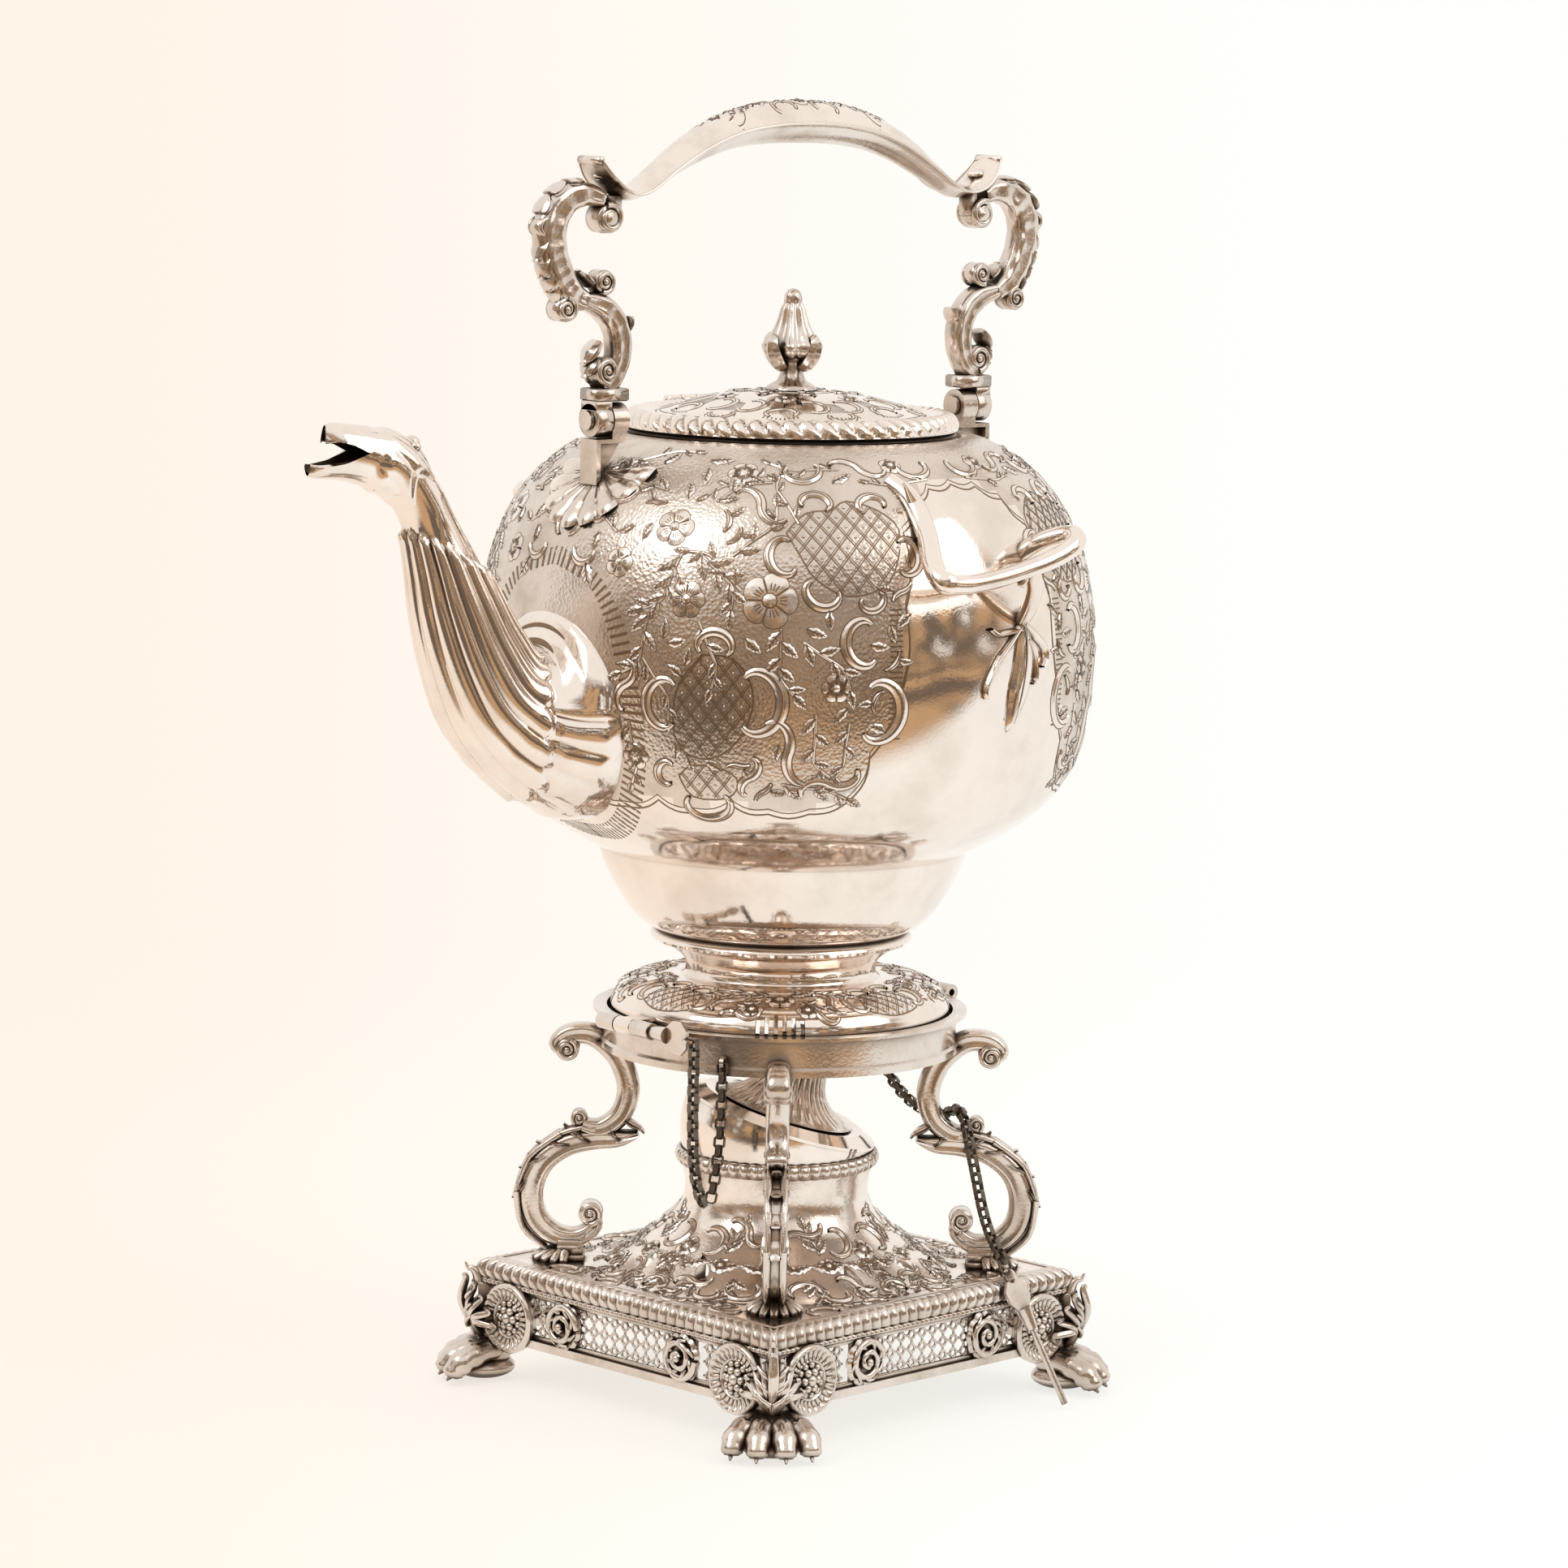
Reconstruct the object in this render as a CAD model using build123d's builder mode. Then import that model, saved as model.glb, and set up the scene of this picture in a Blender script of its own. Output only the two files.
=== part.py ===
from build123d import *
import os
from math import atan2, cos, degrees, hypot, pi, radians, sin, sqrt, tan

# Spirit kettle on a lamp stand, in silver plate. Millimetres, +Z up, origin on the table
# under the kettle's axis. The spout points along -X and the lid's hinge is on the +Y side.
# The stand's four corners lie on the diagonals, turned a little from the kettle's own axes.

# ---------------------------------------------------------------- driving dimensions

sheet = 1.2                    # raised sheet metal: kettle, foot, mound
hinge_gap = 0.3                # air between knuckles that turn past each other
running_gap = 0.1              # radial air round a hinge pin
rest_gap = 0.2                 # air where a loose piece sits in another

# kettle body, as (radius, height) of the raised shell
mouth_radius = 46.0
mouth_height = 303.2
shoulder_radius = 51.6
belly_radius = 95.8
belly_height = 236.0
waist_radius = 58.0
waist_height = 173.0
bowl_bottom = 145.4
bowl_seat_radius = 34.0

# kettle foot
rim_radius = 40.5
neck_radius = 30.0
skirt_radius = 53.5
foot_bottom = 112.2
vent_width = 1.5

# stand ring and its two hinges
ring_bore = 54.6
ring_wall = 1.1
ring_bottom = 109.0
ring_top = 121.7
ring_lip_radius = 58.9
ledge_width = 3.6
hinge_axis_radius = 61.4
hinge_axis_height = 121.4
knuckle_radius = 2.6
pin_radius = 1.05
middle_knuckle = 7.8
side_knuckle = 8.3
pin_length = 27.5
socket_length = 7.0
shield_length = 12.0
link_swing_room = 1.3
rear_tip = (52.0, -80.6, 1.6)
rear_top = (40.7, -61.1, 47.5)

# stand
stand_turn = 5.0
plate_half = 61.2
plate_top = 38.6
fascia_half = 65.5
rail_half = 66.8
border_bottom = 31.0
rail_top = 16.2
rail_bottom = 13.6
roundel_plane = 69.6
big_roundel_radius = 11.2
big_roundel_place = 51.4
small_roundel_radius = 8.2
small_roundel_place = 26.6
roundel_height = 21.6
small_roundel_height = 23.4
paw_reach = 107.8
paw_width = 28.0
paw_length = 28.4
leg_width = 8.0

# lamp
collar_bore = 30.5
collar_radius = 32.4
collar_bottom = 71.5
collar_top = 76.4
lamp_ball = 30.85
lamp_height = 82.6
lamp_lean = 17.0
lamp_lean_toward = -40.0
wick_radius = 5.0

# lid
lid_radius = 52.2
lid_seat = mouth_height + 0.3
lid_dome_radius = 43.5
lid_edge_height = 309.8
lid_crown_height = 315.6
shank_radius = 1.95
bezel_radius = 45.0
bezel_bottom = 297.0
lid_hinge_y = 51.5
lid_hinge_z = 309.0
lid_knuckle_radius = 2.0
lid_pin_radius = 0.8
lid_knuckle_middle = 6.0
lid_knuckle_side = 5.0

# bail
bail_axis_height = 308.7
bail_gap_x = 73.6
bail_knuckle_width = 5.7
bail_knuckle_radius = 5.2
bail_pin_radius = 1.6
rivet_radius = 3.0
arm_depth = 8.0
strap = 1.6
shell_thickness = 1.0
grip_height = 398.0
grip_width = 18.0

# spout
spout_wall = 1.1

# side handles
twig_radius = 3.2
leaf_thickness = 1.3

# chain
link_length = 3.9
link_width = 3.5
link_band = 1.5
link_wall = 0.4
link_pitch = 2.75


# ---------------------------------------------------------------- helpers


def turned(outline):
    """A solid turned about Z from a closed outline of (radius, height) points."""
    with BuildPart() as piece:
        with BuildSketch(Plane.XZ):
            with BuildLine():
                Polyline(*outline, close=True)
            make_face()
        revolve(axis=Axis.Z)
    return piece.part


def arcs(points, start):
    """Arcs through the points, each tangent to the one before, drawn into the open BuildLine."""
    tangent = start
    for first, second in zip(points, points[1:]):
        tangent = TangentArc(first, second, tangent=tangent) % 1


def inset(points, start, wall):
    """The points of such a chain of arcs after it moves by wall towards its right-hand side."""
    size = hypot(*start)
    tangent = (start[0] / size, start[1] / size)
    moved = [(points[0][0] + wall * tangent[1], points[0][1] - wall * tangent[0])]
    for first, second in zip(points, points[1:]):
        run = (second[0] - first[0], second[1] - first[1])
        share = 2 * (tangent[0] * run[0] + tangent[1] * run[1]) / (run[0] ** 2 + run[1] ** 2)
        tangent = (share * run[0] - tangent[0], share * run[1] - tangent[1])
        moved.append((second[0] + wall * tangent[1], second[1] - wall * tangent[0]))
    return moved


def ribbon(points, widths):
    """The outline of a band that changes its width along a curved centre line."""
    left = []
    right = []
    for index, (x, y) in enumerate(points):
        before = points[max(index - 1, 0)]
        after = points[min(index + 1, len(points) - 1)]
        run = (after[0] - before[0], after[1] - before[1])
        half = widths[index] / 2 / hypot(*run)
        left.append((x - half * run[1], y + half * run[0]))
        right.append((x + half * run[1], y - half * run[0]))
    with BuildSketch() as band:
        with BuildLine():
            Spline(*left)
            Line(left[-1], right[-1])
            Spline(*right)
            Line(right[0], left[0])
        make_face()
    return band.sketch


def easy_radii(points):
    """For each corner of a path, the largest arc that its two runs allow."""
    radii = []
    for before, corner, after in zip(points, points[1:], points[2:]):
        first = Vector(*corner) - Vector(*before)
        second = Vector(*after) - Vector(*corner)
        turn = radians(first.get_angle(second))
        radii.append(0.45 * min(first.length, second.length) / tan(turn / 2))
    return radii


def twig(points, size):
    """A six-sided branch along a path of straight runs and arcs."""
    with BuildPart() as branch:
        with BuildLine() as path:
            FilletPolyline(*points, radius=easy_radii(points))
        with BuildSketch(Plane(origin=path.line @ 0, z_dir=path.line % 0)):
            RegularPolygon(size, 6)
        sweep()
    return branch.part


def radial(angle):
    """The plane through the Z axis at this azimuth, with local axes (radius, height)."""
    turn = radians(angle)
    return Plane(origin=(0, 0, 0), x_dir=(cos(turn), sin(turn), 0), z_dir=(sin(turn), -cos(turn), 0))


def stand_side(angle):
    """The upright plane of one side of the stand, with local axes (along the side, height)."""
    turn = radians(angle)
    return Plane(origin=(0, 0, 0), x_dir=(-sin(turn), cos(turn), 0), z_dir=(cos(turn), sin(turn), 0))


os.makedirs("parts", exist_ok=True)
stand_plane = Plane(
    origin=(0, 0, 0), x_dir=(cos(radians(stand_turn)), sin(radians(stand_turn)), 0), z_dir=(0, 0, 1)
)
corner_angles = [stand_turn + 45 + 90 * quarter for quarter in range(4)]
side_angles = [stand_turn + 90 * quarter for quarter in range(4)]
made = []


def save(name, part):
    """Labels a finished piece and writes its STEP file."""
    part.label = name
    export_step(part, f"parts/{name}.step")
    made.append((name, part))


# ---------------------------------------------------------------- kettle body

upper_wall = [(belly_radius, belly_height), (92.3, 264.0), (63.8, 300.0), (shoulder_radius, mouth_height - 0.4)]
lower_wall = [(belly_radius, belly_height), (91.5, 205.0), (76.5, 184.0), (waist_radius, waist_height)]
bowl_wall = [(waist_radius, waist_height), (54.6, 164.0), (48.6, 154.0), (bowl_seat_radius, bowl_bottom)]
upward = (0, 1)
downward = (0, -1)
bowl_start = (-0.25, -0.97)


def vessel_lines(grow):
    """The three stretches of the body's outline, moved outwards by this much."""
    upper = inset(upper_wall, upward, grow)
    lower = inset(lower_wall, downward, -grow)
    bowl = inset(bowl_wall, bowl_start, -grow)
    lower[-1] = ((lower[-1][0] + bowl[0][0]) / 2, (lower[-1][1] + bowl[0][1]) / 2)
    bowl[0] = lower[-1]
    return upper, lower, bowl


def vessel(grow):
    """The kettle body as a filled solid, grown outwards by this much."""
    upper, lower, bowl = vessel_lines(grow)
    with BuildPart() as piece:
        with BuildSketch(Plane.XZ):
            with BuildLine():
                arcs(upper, upward)
                arcs(lower, downward)
                arcs(bowl, bowl_start)
                Polyline(bowl[-1], (0, bowl[-1][1]), (0, upper[-1][1]), upper[-1])
            make_face()
        revolve(axis=Axis.Z)
    return piece.part


body_core = vessel(0)
strainer_height = 222.0
strainer_hole = 2.6
strainer_places = [(0, 0)] + [(11.0, 60 * step) for step in range(6)]

inner_upper, inner_lower, inner_bowl = vessel_lines(-sheet)

with BuildPart() as kettle_body:
    with BuildSketch(Plane.XZ):
        with BuildLine():
            arcs(upper_wall, upward)
            arcs(lower_wall, downward)
            arcs(bowl_wall, bowl_start)
            Polyline(bowl_wall[-1], (0, bowl_bottom), (0, inner_bowl[-1][1]), inner_bowl[-1])
            arcs(inner_bowl, bowl_start)
            arcs(inner_lower, downward)
            arcs(inner_upper, upward)
            Polyline(
                inner_upper[-1],
                (mouth_radius, inner_upper[-1][1]),
                (mouth_radius, mouth_height),
                (shoulder_radius - 0.6, mouth_height),
                upper_wall[-1],
            )
        make_face()
    revolve(axis=Axis.Z)
    # strainer holes behind the spout
    with BuildSketch(Plane.YZ.offset(-belly_radius - 5)):
        for reach, turn in strainer_places:
            with Locations((reach * cos(radians(turn)), strainer_height + reach * sin(radians(turn)))):
                Circle(strainer_hole)
    extrude(amount=30, mode=Mode.SUBTRACT)
    # the two outer knuckles of the lid's hinge stand on the mouth rim
    tab_foot = mouth_height - sheet
    for side in (-1, 1):
        knuckle_x = side * (lid_knuckle_middle / 2 + hinge_gap + lid_knuckle_side / 2)
        with Locations((knuckle_x, lid_hinge_y + 0.4, (tab_foot + lid_hinge_z) / 2)):
            Box(lid_knuckle_side, 2.0, lid_hinge_z - tab_foot)
        with Locations(Location((knuckle_x, lid_hinge_y, lid_hinge_z), (0, 90, 0))):
            Cylinder(lid_knuckle_radius, lid_knuckle_side)
            Cylinder(lid_pin_radius, lid_knuckle_side + 1, mode=Mode.SUBTRACT)
save("kettle_body", kettle_body.part)

with BuildPart() as lid_hinge_pin:
    with Locations(Location((0, lid_hinge_y, lid_hinge_z), (0, 90, 0))):
        Cylinder(lid_pin_radius, lid_knuckle_middle + 2 * hinge_gap + 2 * lid_knuckle_side)
save("lid_hinge_pin", lid_hinge_pin.part)

# ---------------------------------------------------------------- kettle foot

foot_flare = [(rim_radius, 143.4), (31.8, 138.6), (neck_radius, 133.8), (31.2, 131.9)]
foot_dome = [(31.2, 131.9), (42.0, 131.0), (49.8, 128.2), (skirt_radius, 121.0)]
flare_start = (-0.95, -0.3)
dome_start = (1, 0)
dome_inner = inset(foot_dome, dome_start, sheet)

with BuildPart() as kettle_foot:
    with BuildSketch(Plane.XZ):
        with BuildLine():
            arcs(foot_flare, flare_start)
            arcs(foot_dome, dome_start)
            Polyline(
                foot_dome[-1],
                (skirt_radius, foot_bottom),
                (skirt_radius - sheet, foot_bottom),
                dome_inner[-1],
            )
            arcs(dome_inner, dome_start)
            Polyline(
                dome_inner[0],
                (neck_radius - 1.6, dome_inner[0][1]),
                (neck_radius - 1.6, bowl_bottom),
                (bowl_seat_radius, bowl_bottom),
                (rim_radius, 144.4),
                foot_flare[0],
            )
        make_face()
    revolve(axis=Axis.Z)
    # a fan of vent slots in the skirt over each corner of the stand
    for angle in corner_angles:
        for fan in (-2, -1, 0, 1, 2):
            with BuildSketch(radial(angle + 3.8 * fan)):
                with Locations(Location((50.4, 125.0), 52)):
                    Rectangle(7.0, 6.4 - 0.8 * abs(fan))
            extrude(amount=vent_width / 2, both=True, mode=Mode.SUBTRACT)
    # the middle knuckles, each on a leaf that reaches over the ring's lip
    for side in (-1, 1):
        with Locations((side * (hinge_axis_radius + skirt_radius - 1) / 2, 0, hinge_axis_height + 1.5)):
            Box(hinge_axis_radius - skirt_radius + 1, middle_knuckle, sheet)
        with Locations(Location((side * hinge_axis_radius, 0, hinge_axis_height), (90, 0, 0))):
            Cylinder(knuckle_radius, middle_knuckle)
            Cylinder(pin_radius + running_gap, middle_knuckle + 1, mode=Mode.SUBTRACT)
save("kettle_foot", kettle_foot.part)

# ---------------------------------------------------------------- spout

# stations from the root to the lips: (x, z, half width, half height)
spout_line = [
    (-84.0, 221.0, 31.5, 33.5),
    (-93.0, 221.0, 30.0, 32.0),
    (-101.0, 221.5, 25.0, 26.0),
    (-108.5, 224.0, 20.0, 20.5),
    (-116.0, 230.0, 17.0, 17.0),
    (-123.4, 242.6, 14.4, 14.7),
    (-129.3, 256.3, 12.2, 12.6),
    (-134.0, 268.6, 10.0, 10.1),
    (-138.6, 279.4, 8.2, 8.1),
    (-143.4, 288.2, 7.7, 7.9),
    (-150.6, 296.4, 7.5, 8.6),
    (-160.0, 300.4, 7.0, 8.9),
    (-171.0, 302.6, 5.8, 7.4),
    (-182.0, 303.2, 4.2, 5.6),
]


def spout_form(shrink):
    """The spout's smooth form from root to lips, made smaller all round by shrink."""
    with BuildPart() as form:
        for index, (x, z, half_width, half_height) in enumerate(spout_line):
            before = spout_line[max(index - 1, 0)]
            after = spout_line[min(index + 1, len(spout_line) - 1)]
            run = (after[0] - before[0], 0, after[1] - before[1])
            with BuildSketch(Plane(origin=(x, 0, z), x_dir=(0, 1, 0), z_dir=run)):
                Ellipse(half_width - shrink, half_height - shrink)
        loft()
    return form.part


spout_outside = spout_form(0)
spout_inside = spout_form(spout_wall)

with BuildPart() as spout:
    add(spout_outside)
    add(spout_inside, mode=Mode.SUBTRACT)
    add(body_core, mode=Mode.SUBTRACT)
    # the open beak: a notch from the corner of the mouth out past the lips
    with BuildSketch(Plane.XZ):
        with BuildLine():
            Polyline(
                (-162.0, 302.0),
                (-175.5, 306.4),
                (-176.6, 312.0),
                (-190.0, 312.0),
                (-190.0, 290.0),
                (-181.2, 296.0),
                (-179.6, 298.8),
                close=True,
            )
        make_face()
    extrude(amount=15, both=True, mode=Mode.SUBTRACT)
save("spout", spout.part)

# ---------------------------------------------------------------- pieces that lie on the body


def on_body(outline, plane, thickness):
    """A thin plate with this outline, seen square to the plane, lying on the kettle's body."""
    grown = vessel(thickness)
    with BuildPart() as plate:
        add(grown)
        add(body_core, mode=Mode.SUBTRACT)
        with BuildSketch(plane):
            with BuildLine():
                Polyline(*outline, close=True)
            make_face()
        extrude(amount=80, mode=Mode.INTERSECT)
    return plate.part


# ---------------------------------------------------------------- side handles

handle_rail = [
    (-19.7, -70.0, 293.0),
    (-16.5, -83.0, 283.5),
    (-24.0, -94.0, 274.3),
    (-31.0, -105.2, 266.4),
    (-18.0, -105.9, 265.2),
    (0.0, -105.5, 267.9),
    (16.0, -106.2, 271.6),
    (28.0, -106.4, 277.6),
    (24.0, -96.5, 277.8),
    (18.0, -84.0, 268.5),
]
handle_stem = [(6.0, -105.6, 269.0), (10.5, -102.0, 259.0), (13.7, -91.0, 249.0)]
leaf_outline = [
    (12.5, 256.0),
    (16.5, 246.0),
    (23.0, 238.5),
    (17.5, 232.0),
    (14.5, 229.5),
    (7.7, 219.0),
    (4.5, 229.0),
    (1.0, 234.5),
    (-4.5, 232.5),
    (2.0, 242.0),
    (9.0, 249.0),
]

rail = twig(handle_rail, twig_radius)
stem = twig(handle_stem, twig_radius - 0.6)
leaf = on_body(leaf_outline, Plane.XZ.offset(60), leaf_thickness)

with BuildPart() as near_handle:
    add([rail, stem, leaf])
    add(body_core, mode=Mode.SUBTRACT)
save("side_handle_near", near_handle.part)

with BuildPart() as far_handle:
    add(near_handle.part.rotate(Axis.Z, 180))
save("side_handle_far", far_handle.part)

# ---------------------------------------------------------------- bail posts, their shells and pins

post_inner = bail_gap_x - hinge_gap / 2 - bail_knuckle_width
post_gap = bail_gap_x - hinge_gap / 2
bail_inner = bail_gap_x + hinge_gap / 2
bail_outer = bail_inner + bail_knuckle_width
shelf_top = bail_axis_height - bail_knuckle_radius - 0.5
scallop = vessel(shell_thickness)


def scallop_outline(lobes, first, last, reach_y, reach_z, centre_z):
    """A fan edge with this many lobes, closed through its hub."""
    outline = []
    for step in range(2 * lobes + 1):
        angle = radians(first + (last - first) * step / (2 * lobes))
        swell = 1.0 if step % 2 else 0.9
        outline.append((swell * reach_y * cos(angle), centre_z + swell * reach_z * sin(angle)))
    return outline


for name, side in (("left", -1), ("right", 1)):
    outward = Plane(origin=(side * 30, 0, 0), x_dir=(0, side, 0), z_dir=(side, 0, 0))
    shell = on_body(scallop_outline(7, -190, 10, 19.5, 18.0, 293.0), outward, shell_thickness)
    save(f"post_shell_{name}", shell)

    with BuildPart() as bail_post:
        # strap, shelf and saddle
        with Locations((side * (bail_outer - strap / 2), 0, (285 + shelf_top) / 2)):
            Box(strap, arm_depth, shelf_top - 285)
        with Locations((side * (post_inner + bail_outer) / 2, 0, shelf_top - 0.6)):
            Box(bail_outer - post_inner, arm_depth, 1.2)
        with Locations((side * (post_inner + post_gap) / 2, 0, (shelf_top + bail_axis_height) / 2)):
            Box(bail_knuckle_width, arm_depth, bail_axis_height - shelf_top)
        with BuildSketch(Plane.XZ):
            Polygon(
                (side * post_inner, shelf_top),
                (side * bail_outer, shelf_top),
                (side * bail_outer, 288.0),
                (side * (bail_outer - 1.6), 288.0),
                align=None,
            )
        extrude(amount=1.2, both=True)
        # knuckle
        with Locations(Location((side * (post_inner + post_gap) / 2, 0, bail_axis_height), (0, 90, 0))):
            Cylinder(bail_knuckle_radius, bail_knuckle_width)
            Cylinder(bail_pin_radius + running_gap, bail_knuckle_width + 1, mode=Mode.SUBTRACT)
        add(scallop, mode=Mode.SUBTRACT)
    save(f"bail_post_{name}", bail_post.part)

    with BuildPart() as bail_pin:
        with Locations(Location((side * (post_inner + bail_outer) / 2, 0, bail_axis_height), (0, 90, 0))):
            Cylinder(bail_pin_radius, bail_outer - post_inner + 1)
            for end in (-1, 1):
                with Locations((0, 0, end * ((bail_outer - post_inner) / 2 + 0.9))):
                    Cylinder(rivet_radius, 1.3)
    save(f"bail_pin_{name}", bail_pin.part)

# ---------------------------------------------------------------- bail

# stations along the grip: (x, z, width, rise, fall)
grip_half = [
    (0.0, grip_height, grip_width, 6.5, 6.2),
    (13.0, 397.5, grip_width - 0.2, 6.4, 6.0),
    (26.0, 395.6, grip_width - 1.0, 5.9, 5.6),
    (37.0, 392.0, grip_width - 2.0, 5.2, 5.0),
    (46.0, 387.6, grip_width - 2.8, 4.4, 4.3),
    (54.0, 382.8, grip_width - 3.0, 3.4, 3.4),
    (60.5, 378.6, grip_width - 2.6, 2.6, 2.7),
    (66.5, 376.6, grip_width - 2.0, 2.0, 2.1),
    (72.0, 378.0, grip_width - 1.0, 1.7, 1.6),
    (76.6, 381.8, grip_width - 2.2, 1.4, 1.3),
    (80.0, 386.6, grip_width - 6.0, 1.2, 1.2),
]
grip_line = [(-x, z, width, rise, fall) for x, z, width, rise, fall in grip_half[:0:-1]] + grip_half

with BuildPart() as grip:
    for index, (x, z, width, rise, fall) in enumerate(grip_line):
        before = grip_line[max(index - 1, 0)]
        after = grip_line[min(index + 1, len(grip_line) - 1)]
        run = (after[0] - before[0], 0, after[1] - before[1])
        with BuildSketch(Plane(origin=(x, 0, z), x_dir=(0, 1, 0), z_dir=run)):
            with BuildLine():
                ThreePointArc((-width / 2, 0), (0, rise), (width / 2, 0))
                ThreePointArc((width / 2, 0), (0, -fall), (-width / 2, 0))
            make_face()
    loft()
save("grip", grip.part)

# the two scrolls of an arm as (distance from the middle, height) centre lines
upper_scroll = [
    (77.0, 375.0),
    (83.5, 376.6),
    (90.5, 374.4),
    (94.8, 368.0),
    (94.9, 360.5),
    (92.0, 353.0),
    (88.0, 347.5),
    (82.8, 344.6),
]
upper_widths = [5.0, 7.5, 9.2, 10.2, 10.2, 9.6, 8.4, 6.0]
lower_scroll = [
    (85.5, 345.6),
    (76.2, 343.0),
    (71.0, 338.6),
    (68.9, 333.0),
    (69.1, 327.0),
    (71.6, 321.6),
    (75.2, 317.6),
]
lower_widths = [4.0, 7.4, 7.8, 7.8, 7.4, 7.0, 6.4]
arm_buds = [(75.0, 369.4, 4.8), (98.6, 366.7, 3.4), (90.6, 342.4, 3.8), (76.0, 350.4, 3.8), (75.2, 323.6, 4.4)]
shoulder_bottom = bail_axis_height + bail_knuckle_radius + 0.5
shoulder_top = shoulder_bottom + 4.0
stub_bottom = 368.0
stub_height = 8.0

for name, side in (("left", -1), ("right", 1)):
    upper_band = ribbon([(side * x, z) for x, z in upper_scroll], upper_widths)
    lower_band = ribbon([(side * x, z) for x, z in lower_scroll], lower_widths)
    with BuildPart() as bail_arm:
        with BuildSketch(Plane.XZ):
            add([upper_band, lower_band])
        extrude(amount=arm_depth / 2, both=True)
        with BuildSketch(Plane.XZ):
            for x, z, size in arm_buds:
                with Locations((side * x, z)):
                    Circle(size)
        extrude(amount=arm_depth / 2 - 0.8, both=True)
        # the stub that carries the grip
        with Locations((side * 71.8, 0, stub_bottom)):
            Cylinder(3.0, stub_height, align=(Align.CENTER, Align.CENTER, Align.MIN))
        # shoulder bar and outer knuckle
        with Locations((side * (post_inner + bail_outer) / 2, 0, (shoulder_bottom + shoulder_top) / 2)):
            Box(bail_outer - post_inner, arm_depth + 1, shoulder_top - shoulder_bottom)
        with Locations((side * (bail_inner + bail_outer) / 2, 0, (bail_axis_height + shoulder_bottom) / 2)):
            Box(bail_knuckle_width, arm_depth, shoulder_bottom - bail_axis_height)
        with Locations(Location((side * (bail_inner + bail_outer) / 2, 0, bail_axis_height), (0, 90, 0))):
            Cylinder(bail_knuckle_radius, bail_knuckle_width)
            Cylinder(bail_pin_radius + running_gap, bail_knuckle_width + 1, mode=Mode.SUBTRACT)
        add(grip.part, mode=Mode.SUBTRACT)
    save(f"bail_arm_{name}", bail_arm.part)

# ---------------------------------------------------------------- lid

lid_notch = 2 * (lid_knuckle_middle / 2 + hinge_gap + lid_knuckle_side + 0.5)

with BuildPart() as lid:
    with BuildSketch(Plane.XZ):
        with BuildLine():
            Polyline(
                (bezel_radius - sheet, bezel_bottom),
                (bezel_radius, bezel_bottom),
                (bezel_radius, lid_seat),
                (lid_radius - 0.8, lid_seat),
            )
            Spline(
                (lid_radius - 0.8, lid_seat),
                (lid_radius, 305.6),
                (51.0, 308.2),
                (48.2, lid_edge_height),
                (45.0, 309.0),
                (lid_dome_radius, 307.8),
            )
            Spline((lid_dome_radius, 307.8), (35.0, 310.8), (22.0, 314.0), (10.0, lid_crown_height))
            Polyline(
                (10.0, lid_crown_height),
                (shank_radius, lid_crown_height),
                (shank_radius, lid_crown_height - sheet),
                (10.0, lid_crown_height - sheet),
            )
            Spline((10.0, lid_crown_height - sheet), (22.0, 312.7), (35.0, 309.5), (42.6, 306.6))
            Polyline((42.6, 306.6), (bezel_radius - sheet, 304.6), (bezel_radius - sheet, bezel_bottom))
        make_face()
    revolve(axis=Axis.Z)
    # the border is notched for the hinge, and carries the middle knuckle on a short leaf
    with Locations((0, 49.0 + 5, lid_hinge_z)):
        Box(lid_notch, 10, 14, mode=Mode.SUBTRACT)
    with Locations((0, (46.5 + lid_hinge_y) / 2, lid_hinge_z - 0.6)):
        Box(lid_knuckle_middle, lid_hinge_y - 46.5, 1.4)
    with Locations(Location((0, lid_hinge_y, lid_hinge_z), (0, 90, 0))):
        Cylinder(lid_knuckle_radius, lid_knuckle_middle)
        Cylinder(lid_pin_radius + 0.05, lid_knuckle_middle + 1, mode=Mode.SUBTRACT)
save("lid", lid.part)

bud = turned(
    [
        (0, 310.2),
        (shank_radius, 310.2),
        (shank_radius, lid_crown_height),
        (8.0, lid_crown_height),
        (7.4, 317.0),
        (3.8, 319.5),
        (3.2, 322.5),
        (5.6, 326.0),
        (6.6, 331.0),
        (6.0, 335.5),
        (3.6, 339.0),
        (2.4, 341.2),
        (2.6, 343.6),
        (2.2, 346.2),
        (0, 347.1),
    ]
)
bud_scroll = ribbon([(3.4, 323.4), (7.0, 325.6), (9.0, 330.4), (7.6, 335.6), (4.0, 338.4)], [1.6, 2.6, 3.2, 2.8, 1.6])

with BuildPart() as finial:
    add(bud)
    # four upright scrolls stand round the bud
    for quarter in range(4):
        with BuildSketch(radial(90 * quarter + 10)):
            add(bud_scroll)
        extrude(amount=2.0, both=True)
save("finial", finial.part)

with BuildPart() as finial_nut:
    with Locations((0, 0, lid_crown_height - sheet - 1.25)):
        Cylinder(4.0, 2.5)
        Cylinder(shank_radius, 3.0, mode=Mode.SUBTRACT)
save("finial_nut", finial_nut.part)

# ---------------------------------------------------------------- stand ring

ring_outer = ring_bore + ring_wall
ring_bead = 0.8
ledge_top = foot_bottom - rest_gap
eye_height = 113.5
eye_radius = 1.9
eye_reach = ring_outer + eye_radius + 0.8
front_eye_angle = 213.0
rear_eye_angle = 17.0
side_knuckle_y = middle_knuckle / 2 + hinge_gap + side_knuckle / 2

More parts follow.
